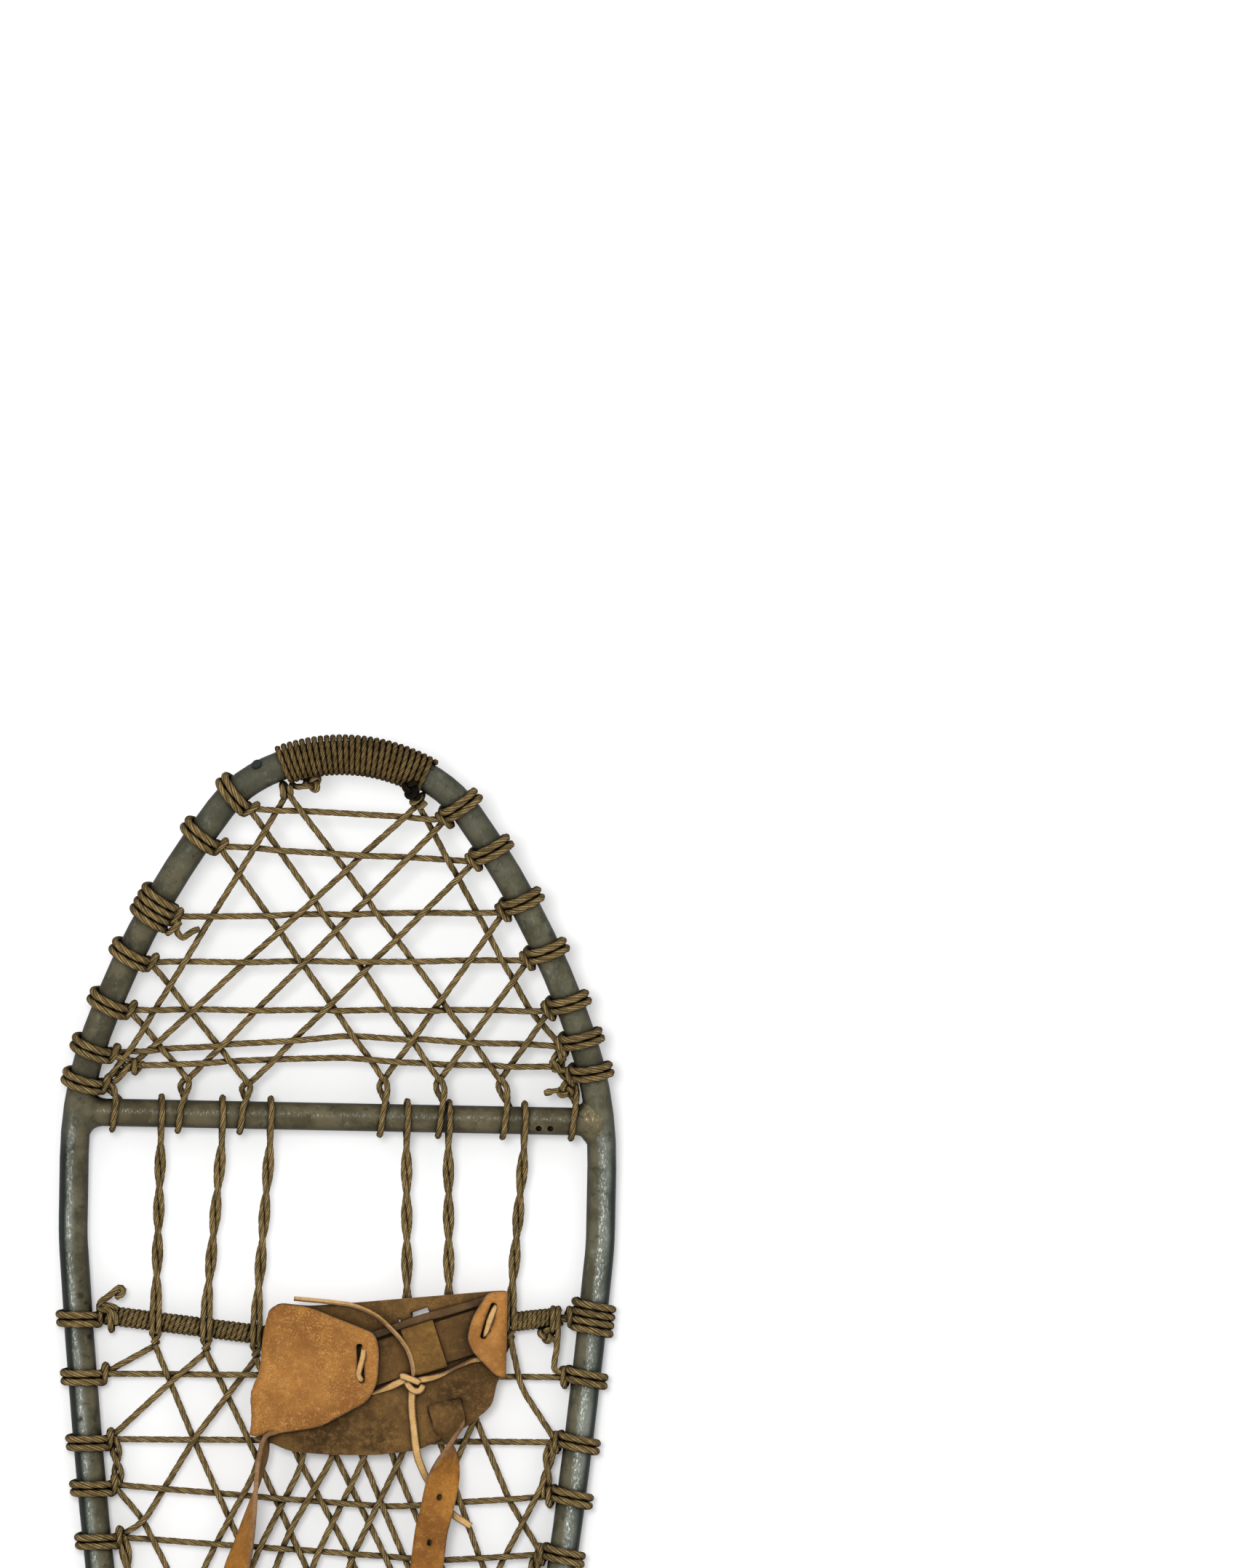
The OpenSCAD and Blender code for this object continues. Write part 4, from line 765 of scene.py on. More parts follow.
def axes(spot):
    # a place on the tube, and the ways inward, along the tube and up
    n = np.array([cos(spot[2]), sin(spot[2]), 0])
    a = np.array([-sin(spot[2]), cos(spot[2]), 0])
    return np.array([spot[0], spot[1], 0]), n, a, np.array([0, 0, 1.0])


# Hitches: lowest centre of a cord that stays off the floor, path round the tube, its start and its pitch
LOW = -9.5
TURN_R, TURN_START, TURN_PITCH = TUBE_R + HITCH_R + GAP / 2, -35, 4.5
# The short turn of a hitch: nearest and farthest from the tube's axis, half length and half height
CINCH_NEAR, CINCH_FAR, CINCH_LONG, CINCH_HIGH = 10.2, 14.2, 4.4, 3.0


def turns_path(spot, turns, low):
    # cord round the tube: from the inner side over the top, and round again
    c, n, a, w = axes(spot)
    out = []
    total = 360 * turns - 40
    steps = int(total / 15)
    for i in range(steps + 1):
        f = TURN_START + total * i / steps
        along = (f / 360 - turns / 2) * TURN_PITCH
        r = TURN_R + (1.3 * max(0.0, 1 - i / 3) + 1.3 * max(0.0, 1 - (steps - i) / 3))
        p = c + r * (cos(f) * n + sin(f) * w) + along * a
        p[2] = max(p[2], low)
        out.append(p)
    return out


def cinch_path(spot):
    # the short turn that draws a hitch together on the inner side of the tube
    c, n, a, w = axes(spot)
    side = math.copysign(1, spot[0])
    out = []
    for f in range(-110, 291, 20):
        away = CINCH_NEAR + (CINCH_FAR - CINCH_NEAR) * ((f + 110) / 400)
        out.append(c + n * away + side * CINCH_LONG * cos(f) * a + CINCH_HIGH * sin(f) * w)
    return out


def hitch(mesh, spot, turns=2, place=same, low=LOW):
    rope(mesh, turns_path(spot, turns, low), HITCH_R, place=place)
    rope(mesh, cinch_path(spot), HITCH_R, place=place)
    # short bight that ties the turns to the net
    bight = ((9.6, -2.2), (11.5, -0.4), (13.4, 0.6), (15.2, 0.2))
    rope(mesh, [np.append(off_spot(spot, d), z) for d, z in bight], NET_R, place=place)


def pair_paths(p, q, turns, radius, phase=0.0):
    # two cords laid round each other between two points
    p, q = np.asarray(p, float), np.asarray(q, float)
    d = unit(q - p)
    side = unit(np.cross(d, (0, 0, 1.0)))
    up = np.cross(side, d)
    steps = 40
    both = []
    for k in (0, 1):
        line = []
        for i in range(steps + 1):
            t = i / steps
            f = math.degrees(math.pi * (phase + k + turns * t))
            line.append(p + (q - p) * t + radius * (cos(f) * side + sin(f) * up))
        both.append(line)
    return both


# Path of a cord round a crossbar, and the front crossbar's height
LOOP_R = BAR_R + NET_R + GAP
BAR_Z = TOE_Z + BAR_S * math.sin(TILT)


def bar_loop(mesh, x, s, end, place, way=1):
    # cord from a split in the net over a crossbar, round behind it and back underneath
    e = np.asarray(end, float)
    r = LOOP_R
    mx, ms = (x + e[0]) / 2, (s + way * 10 + e[1]) / 2
    path = [(e[0], e[1] + way * 1.5, 1.4), (mx + 2.3, ms + way, 1.6)]
    for f in range(50, 311, 20):
        path.append((x + np.interp(f, (50, 180, 310), (0.6, -1.6, 2.2)), s + way * r * cos(f), r * sin(f)))
    path += [(mx - 2.3, ms + way, -1.4), (e[0], e[1] + way * 1.5, -1.4)]
    rope(mesh, path, NET_R, place=place)


def hole_cord(mesh, at_bar, at_cross, over):
    # doubled cord: over the cross cord, twisted across the toe hole, looped over the crossbar
    yc = cross_y(at_cross)
    ring = over + NET_R + GAP
    twisted = pair_paths((at_cross, yc + over + 8, 2.6), (at_bar, -16, 6.4), 3.5, 1.5)
    legs = []
    for line, side in zip(twisted, (1, -1)):
        foot = [(at_cross - side * 1.2, yc - over - 6.5, side * 1.4)]
        for f in range(165, 20, -26):
            foot.append((at_cross + side * 1.7, yc + ring * cos(f), ring * sin(f)))
        legs.append(foot + [tuple(p) for p in line])
    r = LOOP_R
    bend = [(at_bar + 0.8 * sin(f), r * cos(f), BAR_Z + r * sin(f)) for f in range(128, -129, -16)]
    rope(mesh, legs[1] + bend + legs[0][::-1], NET_R)


def knot(mesh, centre, size, turn, place, mat=0):
    # overhand knot, drawn tight
    line = []
    for i in range(29):
        t = 2 * math.pi * (i / 29) + 0.3
        x = math.sin(t) + 2 * math.sin(2 * t)
        y = math.cos(t) - 2 * math.cos(2 * t)
        line.append((centre[0] + size * (x * cos(turn) - y * sin(turn)) / 3,
                     centre[1] + size * (x * sin(turn) + y * cos(turn)) / 3,
                     centre[2] - 0.55 * size * math.sin(3 * t)))
    rope(mesh, line, NET_R, place=place, mat=mat, step=1.0)


def beside(p, steps):
    # points by their steps in x and y from a place, and their height
    return [(p[0] + x, p[1] + y, z) for x, y, z in steps]


# The cords of the net
for part, place, net in (("toe", toe, TOE_NET), ("foot", same, FOOT_NET)):
    strands = woven(net)
    net_piece(strands[ROWS], place, part + "_rows")
    net_piece(strands[BACK], place, part + "_diagonals_left")
    net_piece(strands[FORE], place, part + "_diagonals_right")
strands = woven(TAIL)
net_piece(strands[ROWS], same, "tail_rows")
net_piece(strands[BACK] + strands[FORE], same, "tail_diagonals")

mesh = Mesh()
for left, right, turns in zip(TOE_LEFT, TOE_RIGHT, TOE_LEFT_TURNS):
    hitch(mesh, toe_spot(left, -1), turns, toe, -math.inf)
    hitch(mesh, toe_spot(right, 1), 2, toe, -math.inf)
for a, b in ((eye_l[5], knot_l), (knot_l, eye_l[6]), (eye_r[5], knot_r), (knot_r, eye_r[6])):
    for line in pair_paths(np.append(a, 0), np.append(b, 0), 1.0, 1.9, 0.25):
        rope(mesh, line, NET_R, place=toe)
for p, turn in ((knot_l, 70), (knot_r, 110)):
    line = [(p[0] + 3.1 * cos(turn) * cos(f) + 0.016 * f * sin(turn),
             p[1] + 3.1 * sin(turn) * cos(f) - 0.016 * f * cos(turn), 3.1 * sin(f))
            for f in range(-80, 420, 25)]
    rope(mesh, line, NET_R, place=toe)
for p in (anchor_l, anchor_r):
    out = unit(p - np.array([0, TOE_C]))
    line = [(p[0] + out[0] * (2.5 + 3.4 * sin(f)) + out[1] * (0.012 * f - 2),
             p[1] + out[1] * (2.5 + 3.4 * sin(f)) - out[0] * (0.012 * f - 2), 3.4 * cos(f))
            for f in range(-120, 400, 25)]
    rope(mesh, line, NET_R, place=toe)
cord_piece(mesh, "toe_hitches")

mesh = Mesh()
for left, right in zip(FOOT_LEFT, FOOT_RIGHT):
    hitch(mesh, foot_spot(left, -1))
    hitch(mesh, foot_spot(right, 1))
for row_of_eyes, inward in ((foot_l, (3.2, 0)), (foot_r, (-3.2, 0))):
    for i in (1, 3):
        p, q = (np.append(eye + inward, 0) for eye in row_of_eyes[i:i + 2])
        for line in pair_paths(p, q, 2.0, 1.8, 0.5):
            rope(mesh, line, NET_R)
cord_piece(mesh, "foot_hitches")

mesh = Mesh()
for y in TAIL_NET:
    hitch(mesh, foot_spot(y, -1))
    hitch(mesh, foot_spot(y, 1))
cord_piece(mesh, "tail_hitches")

mesh = Mesh()
hitch(mesh, CROSS_LEFT)
hitch(mesh, CROSS_RIGHT, 4)
rope(mesh, [(121, -109, 5.6), (122.6, -114, 4.6), (122, -126, 1.8), (121, -136, 1.6),
            *beside(foot_r[0], [(-1.5, 2.5, 2.5)])], NET_R)
for f0, x in ((0, 122.5), (25, 119.8)):
    rope(mesh, [(x, -109.5 + 6.4 * cos(f + f0), 6.4 * sin(f + f0)) for f in range(-60, 341, 25)], NET_R)
rope(mesh, [(x, -113.6 + 6.3 * cos(f), 6.3 * sin(f)) for x, f in
            zip(np.linspace(-124.6, -121.5, 17), range(-60, 341, 25))], NET_R)
cord_piece(mesh, "master_cord_hitches")

mesh = Mesh()
for x, end in zip(LOOP_X, split):
    bar_loop(mesh, x, BAR_S, end, toe)
cord_piece(mesh, "toe_crossbar_loops")

mesh = Mesh()
for x, up, down in zip(REAR_X, rear_up, rear_down):
    bar_loop(mesh, x - 2.4, REAR_Y, up, same)
    bar_loop(mesh, x + 2.4, REAR_Y, down, same, way=-1)
cord_piece(mesh, "rear_crossbar_loops")

mesh = Mesh()
for at_bar, at_cross in HOLE_LEFT:
    hole_cord(mesh, at_bar, at_cross, SERVE_PATH + SERVE_R)
cord_piece(mesh, "toe_hole_cords_left")
mesh = Mesh()
for at_bar, at_cross in HOLE_RIGHT:
    hole_cord(mesh, at_bar, at_cross, CORE_R)
right_cords = dress(mesh, "toe_hole_cords_right_cord", [rope_look], "cord", "toe_hole_cords_right",
                    body=None)
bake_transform(right_cords)

mesh = Mesh()
ring = CORE_R + NET_R + GAP
for x in MIDDLE_X:
    yc = cross_y(x)
    line = [(x - 1.6, yc - 9.5, 1.3)]
    for f in range(150, -151, -25):
        line.append((x - 1.6 + 3.2 * (150 - f) / 300, yc + ring * cos(f), ring * sin(f)))
    rope(mesh, line + [(x + 1.6, yc - 9.5, -1.3)], NET_R)
cord_piece(mesh, "foot_cord_loops")

mesh = Mesh()
ends = off_spot(CROSS_LEFT, 10.6), off_spot(CROSS_RIGHT, 10.6)
rope(mesh, [np.append(p, 0) for p in rounded([ends[0], cross_b, cross_c, ends[1]], 6)], CORE_R)
cord_piece(mesh, "master_cord_core")


def serving(p, q, turns, node):
    # two cords wound side by side
    mesh = Mesh()
    u = unit(q - p)
    steps = turns * 8
    for start in (0, 180):
        line = []
        for i in range(steps + 1):
            f, c = 22.5 * i + start, p + (q - p) * i / steps
            line.append((c[0] - u[1] * SERVE_PATH * cos(f), c[1] + u[0] * SERVE_PATH * cos(f),
                         -SERVE_PATH * sin(f)))
        rope(mesh, line, SERVE_R * 1.12, step=1.3, lay=12)
    cord_piece(mesh, node)


serving(cross_a, cross_b + (1.0, 0), 30, "master_cord_wrap_left")
serving(cross_c - (2.0, 0), cross_d - (2.5, 0), 10, "master_cord_wrap_right")

mesh = Mesh()
WRAP_TURNS, WRAP_PATH, WRAP_R = 26, 9.7, 1.62
line = []
for i in range(WRAP_TURNS * 20 + 1):
    f, h = 18 * i, -21 + 50 * i / (WRAP_TURNS * 20)
    line.append((*polar(h, TOE_ARCS[0][0] + WRAP_PATH * cos(f)), WRAP_PATH * sin(f)))
rope(mesh, line, WRAP_R, step=1.3, lay=14, place=toe)
cord_piece(mesh, "toe_wrap", wrap_look)

mesh = Mesh()
start = polar(-19, 79.5)
rope(mesh, beside(start, [(-3, 1, -2), (0, 0, 1.5), (5, 0.6, 2.4), (9, 1.4, 0)]), NET_R, place=toe)
knot(mesh, (*polar(-12.5, 79), 0.5), 4.0, 20, toe)
blob = polar(25.6, 85.4)
knot(mesh, (*blob, 8.6), 3.9, 130, toe, mat=1)
knot(mesh, (blob[0] + 1, blob[1] - 3.6, 5), 3.4, 40, toe, mat=1)
stop = on_toe(124.5, 17.5)
knot(mesh, (*stop, 1.2), 3.9, 60, toe)
rope(mesh, beside(stop, [(-3, 0, 1), (-8, -1, 1.4), (-11.5, -1.8, 1.4)]), 1.5, place=toe,
     width=(1, 1, 1, 1.5, 1.2))
rope(mesh, beside(eye_l[2], [(-1, 4, 2.4), (1.2, -3, 3), (1.6, -8, 2.4), (4.4, -11.4, 1.6), (7.6, -9.6, 1.4),
                             (11, -7.4, 1.6), (13.4, -6.4, 1.8)]), 1.85, place=toe)
rope(mesh, beside(eye_l[2], [(-4, -9, 3), (-0.5, -6.4, 4.2), (3, -2.6, 3)]), 1.85, place=toe)
rope(mesh, [(-120, -116, 5.6), (-121.6, -110.8, 6.2), (-125.4, -108.6, 5), (-129.4, -108.6, 3.2),
            (-129.2, -106.6, 1.6), (-124.6, -106.4, 4.4), (-120.6, -107.6, 3.4), (-121.4, -109.4, 1.4),
            (-126, -108.4, 0.4), (-129.6, -106.8, 2), (-128, -103.6, 3.4), (-124.4, -101, 3.8),
            (-121.4, -98.4, 3.6), (-119.4, -96.4, 3), (-116.8, -97, 2.8), (-117.2, -99.6, 2.8),
            (-120.4, -101.6, 2.6)], 1.9)
knot(mesh, (116.5, -117.4, 1.4), 3.8, 10, same)
rope(mesh, [(118, -118, 2.6), (121, -120.5, 2.8), (122.6, -123.6, 2.2)], 1.5)
dress(mesh, "cord_knots_cord", [rope_look, tar_look], "cord", "cord_knots")


# Leather: flat patterns, cut with their holes, filled with triangles and bent into place
def turned(points, angle):
    p = np.asarray(points, float)
    x, y = p[..., 0], p[..., 1]
    return np.stack([x * cos(angle) - y * sin(angle), x * sin(angle) + y * cos(angle)], -1)


def soft_corners(line, cut):
    p = [np.asarray(q, float) for q in line]
    return rounded(p + p[:2], cut)[1:-1]


def oblong(x0, x1, y0, y1, cut):
    return soft_corners([(x0, y0), (x1, y0), (x1, y1), (x0, y1)], cut)


# Share of a hole's width that each corner takes when the hole is round
ROUND = 0.49


def pill(centre, wide, long, angle, round_to=0.45):
    # round-ended hole: long along Y before it is turned
    w, h = wide / 2, long / 2
    return np.asarray(centre, float) + turned(oblong(-w, w, -h, h, round_to * min(wide, long)), angle)


def loop_points(line, step):
    line = np.asarray(line)
    return even(np.vstack([line, line[:1]]), step)[:-1]


def inside(p, line):
    a, b = line, np.roll(line, -1, axis=0)
    x, y = p[:, :1], p[:, 1:]
    spans = (a[:, 1] > y) != (b[:, 1] > y)
    rise = np.where(a[:, 1] == b[:, 1], 1e-9, b[:, 1] - a[:, 1])
    at = a[:, 0] + (y - a[:, 1]) * (b[:, 0] - a[:, 0]) / rise
    return np.sum(spans & (x < at), axis=1) % 2 == 1


def within(p, loops):
    # inside the first loop, which is the outline, and outside its holes
    keep = inside(p, loops[0])
    for hole in loops[1:]:
        keep &= ~inside(p, hole)
    return keep


def leather(mesh, outline, holes, spacing, bend, thick, beyond=None):
    # beyond is a flat x past which the lower face takes material 3
    loops = [loop_points(outline, spacing)] + [loop_points(h, min(spacing, 0.8)) for h in holes]
    low, high = loops[0].min(0), loops[0].max(0)
    grid = []
    for i, y in enumerate(np.arange(low[1], high[1], spacing * 0.87)):
        for x in np.arange(low[0] + (i % 2) * spacing / 2, high[0], spacing):
            grid.append((x, y))
    grid = np.array(grid)
    keep = within(grid, loops)
    rim = np.vstack(loops)
    keep &= np.array([np.min(np.sum((rim - g) ** 2, axis=1)) > (0.55 * spacing) ** 2 for g in grid])
    points, edges = [], []
    for line in loops:
        o = len(points)
        points += [tuple(p) for p in line]
        edges += [(o + k, o + (k + 1) % len(line)) for k in range(len(line))]
    points += [tuple(p) for p in grid[keep]]
    flat, _, tris, _, _, _ = geometry.delaunay_2d_cdt([Vector(p) for p in points], edges, [], 0, 1e-6)
    flat = np.array([tuple(p) for p in flat])
    middle = np.array([flat[list(f)].mean(0) for f in tris])
    tris = [tuple(f) for f, k in zip(tris, within(middle, loops)) if k]
    e = 0.05
    m = bend(flat)
    n = np.cross(bend(flat + (e, 0)) - bend(flat - (e, 0)), bend(flat + (0, e)) - bend(flat - (0, e)))
    n = unit_rows(n)
    once = {(a, b): True for f in tris for a, b in zip(f, f[1:] + f[:1])}
    border = [k for k in once if (k[1], k[0]) not in once]
    out = np.zeros_like(flat)
    for a, b in border:
        d = flat[b] - flat[a]
        d = np.array([d[1], -d[0]]) / max(np.linalg.norm(d), 1e-9)
        out[a] += d
        out[b] += d
    size = np.linalg.norm(out, axis=1)
    out[size > 0] /= size[size > 0][:, None]
    c = len(flat)
    outer = bend(flat + out * min(0.4, thick * 0.14))
    verts = np.vstack([m + n * thick / 2, m - n * thick / 2, outer])
    uv = [tuple(p) for p in flat]
    edge_faces = [(b, a, 2 * c + a, 2 * c + b) for a, b in border]
    edge_faces += [(2 * c + b, 2 * c + a, c + a, c + b) for a, b in border]
    edge_uv = [(uv[b], uv[a], uv[a], uv[b]) for a, b in border] * 2
    groups = [(tris, [tuple(uv[k] for k in f) for f in tris], 0), (edge_faces, edge_uv, 2)]
    far = [beyond is not None and flat[list(f)].mean(0)[0] > beyond for f in tris]
    for mat, past in ((1, False), (3, True)):
        under = [f[::-1] for f, k in zip(tris, far) if k == past]
        faces = [tuple(c + k for k in f) for f in under]
        groups.append((faces, [tuple(uv[k] for k in f) for f in under], mat))
    mesh.add(verts, *groups)


def leather_piece(mesh, node, looks, slot="strap_leather", body="binding"):
    dress(mesh, node + "_leather", looks, slot, node, body=body)


def strip_bend(points):
    # points give x, y, z and roll in degrees; returns the bend and the length
    p = smooth_line([(x, y, z, r / 1000) for x, y, z, r in points], 1.0)
    roll, p = np.radians(p[:, 3] * 1000), p[:, :3]
    t = unit_rows(np.gradient(p, axis=0))
    s = np.cross(np.array([0, 0, 1.0]), t)
    s /= np.maximum(np.linalg.norm(s, axis=1), 1e-6)[:, None]
    side = np.cos(roll)[:, None] * s + np.sin(roll)[:, None] * np.cross(t, s)
    at = lengths(p)

    def bend(q):
        v = q[:, 1]
        spill = np.minimum(v, 0) + np.maximum(v - at[-1], 0)
        mid = np.stack([np.interp(v, at, p[:, k]) for k in range(3)], 1)
        mid += spill[:, None] * t[np.where(v < at[-1] / 2, 0, -1)]
        across = np.stack([np.interp(v, at, side[:, k]) for k in range(3)], 1)
        return mid - across * q[:, :1] / np.linalg.norm(across, axis=1)[:, None]
    return bend, at[-1]


# Sole: the fold of the left flap runs from B to A, that of the right flap along x from top to low
FOLD_A, FOLD_B = np.array([-31.5, -103.0]), np.array([-41.5, -176.0])
FOLD_X, FOLD_TOP, FOLD_LOW = 90.0, -94.0, -141.0
SOLE_T, SOLE_MID, FLAP_MID = 3.2, 7.9, 14.2
FOLD_R = (FLAP_MID - SOLE_MID) / 2
FOLD_ARC = math.pi * FOLD_R
fold_u = unit(FOLD_A - FOLD_B)
fold_n = np.array([fold_u[1], -fold_u[0]])


def open_left(points):
    p = np.asarray(points, float) - FOLD_B
    return FOLD_B + fold_u * (p @ fold_u)[..., None] - fold_n * ((p @ fold_n)[..., None] + FOLD_ARC)


def open_right(points):
    p = np.asarray(points, float)
    return np.stack([2 * FOLD_X + FOLD_ARC - p[..., 0], p[..., 1]], -1)


def ease(v, low, high):
    t = np.clip((v - low) / (high - low), 0, 1)
    return t * t * (3 - 2 * t)


def sole_bend(q):
    x, y = q[:, 0], q[:, 1]
    d = -(q - FOLD_B) @ fold_n
    along = (q - FOLD_B) @ fold_u
    e = x - FOLD_X
    z = SOLE_MID + 0.3 * np.sin(x / 15 + 0.7) * np.sin(y / 12 + 0.4)
    z -= 0.5 * ease(-y, 172, 186)
    out = np.stack([x, y, z], 1)
    base = FOLD_B + fold_u * along[:, None]
    turn = np.clip(d / FOLD_R, 0, math.pi)
    k = d > 0
    reach = np.where(d > FOLD_ARC, d - FOLD_ARC, -FOLD_R * np.sin(turn))
    wave = 0.8 * np.sin(along / 5.5 + 1) * np.sin(turn / 2) * (1 - ease(reach, 0, 14))
    wave -= 3.2 * np.exp(-((along - 23) / 8) ** 2) * np.sin(turn) * np.cos(turn / 2) ** 2
    flap = base + fold_n * (reach + wave)[:, None]
    lift = 2.2 * ease(-flap[:, 1], 142, 174) * ease(reach, 2, 20) + 1.0 * ease(reach, 30, 62)
    lift += 0.35 * np.sin(flap[:, 0] / 8) * np.sin(flap[:, 1] / 9) * ease(reach, 2, 12)
    high = SOLE_MID + FOLD_R * (1 - np.cos(turn)) + np.where(d > FOLD_ARC, lift, 0)
    out[k] = np.column_stack([flap, high])[k]
    turn = np.clip(e / FOLD_R, 0, math.pi)
    k = e > 0
    reach = np.where(e > FOLD_ARC, e - FOLD_ARC, -FOLD_R * np.sin(turn))
    high = SOLE_MID + FOLD_R * (1 - np.cos(turn)) + 1.8 * ease(reach, 3, 18)
    out[k] = np.stack([FOLD_X - reach, y, high], 1)[k]
    return out


left_flap = [FOLD_B, (-7, -170), (19, -155.5), (24, -145), (24.5, -126), (22, -118.5), (-14, -105), FOLD_A]
right_flap = [(FOLD_X, FOLD_TOP), (84, -95), (76, -108), (73, -120), (76, -127), (FOLD_X, FOLD_LOW)]
pattern = [FOLD_A, (-15, -104.5), (13, -102), (FOLD_X, FOLD_TOP)]
pattern += list(open_right(right_flap))
pattern += [(FOLD_X, FOLD_LOW), (87, -157), (73, -169), (47, -182), (25, -185), (0, -185.5), (-23, -184),
            FOLD_B]
pattern += list(open_left(left_flap)) + [FOLD_A - fold_u * 7 - fold_n * FOLD_ARC / 2]
cuts = [open_left(pill((14.8, -135), 3.7, 22, 5)), open_right(pill((84.4, -110.2), 3.7, 21, -18)),
        pill((61.6, -157), 18.6, 3.0, 16, 0.3), pill((55, -164.2), 1.8, 9, 22),
        pill((46.8, -107), 10.6, 4.4, 20, 0.2), pill((35.7, -111.3), 2.2, 2.2, 0)]
mesh = Mesh()
leather(mesh, soft_corners(pattern, 4.5), cuts, 2.0, sole_bend, SOLE_T, beyond=FOLD_X)
leather_piece(mesh, "binding_sole", [flesh_look, grain_look, edge_look, tan_look], "sole_leather")

BAND_AT, BAND_LEAN = np.array([23.6, -134.8]), 18.9


def on_band(q, z):
    return np.column_stack([BAND_AT + turned(q, BAND_LEAN), z])


def band_bend(q):
    return on_band(q, 11.05 + 0.25 * np.sin(q[:, 0] / 7) + 0.2 * np.sin(q[:, 1] / 4))


def wrap_bend(flat, corner, top, place):
    # strip over a flat top of half width flat, round both corners and down
    def bend(q):
        v = np.abs(q[:, 1])
        turn = np.clip((v - flat) / corner, 0, math.pi / 2)
        down = np.maximum(v - flat - corner * math.pi / 2, 0)
        y = np.minimum(v, flat) + corner * np.sin(turn)
        z = top - corner * (1 - np.cos(turn)) - down
        return place(np.stack([q[:, 0], np.sign(q[:, 1]) * y], 1), z)
    return bend


mesh = Mesh()
leather(mesh, oblong(-30, 61, -11.5, 11.5, 2), [], 2.0, band_bend, 2.5)
leather_piece(mesh, "cross_band", [band_look, flesh_look, dark_edge_look])
mesh = Mesh()
leather(mesh, oblong(18.1, 36.5, -15.9, 15.9, 0.8), [], 1.4, wrap_bend(11.15, 1.5, 13.6, on_band), 2.0)
leather_piece(mesh, "band_keeper", [keeper_look, flesh_look, dark_edge_look], "rawhide")

CROSS_TURN = math.degrees(math.atan2(cross_c[1] - cross_b[1], cross_c[0] - cross_b[0]))
LASH_R = 3.9


def lash_bend(x):
    def bend(q):
        v = q[:, 1]
        turn = np.clip(v / LASH_R, -math.pi / 2, math.pi / 2)
        rise = np.maximum(np.abs(v) - LASH_R * math.pi / 2, 0)
        local = np.stack([q[:, 0], LASH_R * np.sin(turn)], 1)
        return np.column_stack([(x, cross_y(x)) + turned(local, CROSS_TURN), rise - LASH_R * np.cos(turn)])
    return bend


mesh = Mesh()
v = LASH_R * math.pi / 2 + 6.2
for x, w in ((-33.5, 7), (25, 14), (78, 14)):
    leather(mesh, oblong(-w / 2, w / 2, -v, v, 0.8), [], 1.2, lash_bend(x), 2.4)
leather_piece(mesh, "pivot_loops", [flesh_look, band_look, edge_look], "sole_leather")

# Heel straps: width, thickness, the right one's way along the ground, its length there and its holes
STRAP_W, STRAP_T = 17.6, 2.5
STRAP_DX, STRAP_DY, STRAP_RUN = -0.10453, -0.99452, 236
FIRST_HOLE, HOLE_GAP = 23.4, 25.6
run = [(60.8, -154.6, 6.6, 0), (61.6, -158, 10.4, 0), (63.2, -163, 11.6, 3), (64.2, -169, 13.2, 24),
       (64.6, -174, 14.6, 64), (64.4, -180, 15, 97), (63.4, -187, 14.2, 124), (62.2, -194, 13, 148),
       (60.8, -201, 12.2, 170), (59.2, -209, 11.5, 184), (57.4, -218, 11.2, 190)]
for d in range(44, STRAP_RUN + 1, 24):
    roll = 190 - 10 * min(1, (d - 42) / 80)
    run.append((59.8 + STRAP_DX * d, -184 + STRAP_DY * d, 11.05 + 0.3 * sin(d * 2.2), roll))
bend, total = strip_bend(run)
end = STRAP_W / 2
outline = [(-end, 0), (end, 0), (end, total - end)]
outline += [(end * cos(f), total - end + end * sin(f)) for f in range(15, 180, 15)] + [(-end, total - end)]
holes = [total - STRAP_RUN + FIRST_HOLE + HOLE_GAP * i for i in range(8)]
holes = [pill((0, y), 2.9, 3.8, 0, ROUND) for y in holes]
mesh = Mesh()
leather(mesh, outline, holes, 2.2, bend, STRAP_T)
right_strap = dress(mesh, "heel_strap_right_leather", [flesh_look, strap_look, edge_look], "strap_leather",
                    "heel_strap_right", "heel_strap_right_root", body=None)
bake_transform(right_strap)

run = [(-30.4, -152.5, 11.05, 0), (-33, -165, 11.05, 0), (-35, -171, 11.3, 14), (-36.3, -175, 12.2, 70),
       (-36.9, -179, 13, 100), (-37.8, -186, 13.4, 104), (-39.6, -195, 13.7, 98), (-41.2, -205, 13.8, 90),
       (-44.5, -222, 13.8, 72), (-48, -238, 13.4, 56), (-51, -250, 12.8, 43), (-51.5, -262, 12.2, 24),
       (-50.5, -274, 11.6, 6), (-50, -284, 11.5, 0), (-50, -305, 11.5, 0), (-50, -329.8, 11.5, 0)]
bend, total = strip_bend(run)
mesh = Mesh()
gathered = [(end, 0), (end, 15), (end - 2.6, 22), (end - 2.6, 27), (end, 40), (end, total)]
outline = gathered + [(-x, y) for x, y in reversed(gathered)]
leather(mesh, soft_corners(outline, 1), [], 2.2, bend, STRAP_T)
left_strap = dress(mesh, "heel_strap_left_leather", [strap_look, flesh_look, edge_look], "strap_leather",
                   "heel_strap_left", "heel_strap_left_root", body=None)
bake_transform(left_strap)

BUCKLE = np.array([-50.0, -334.7, 10.65])
CHAPE_R = 3.4


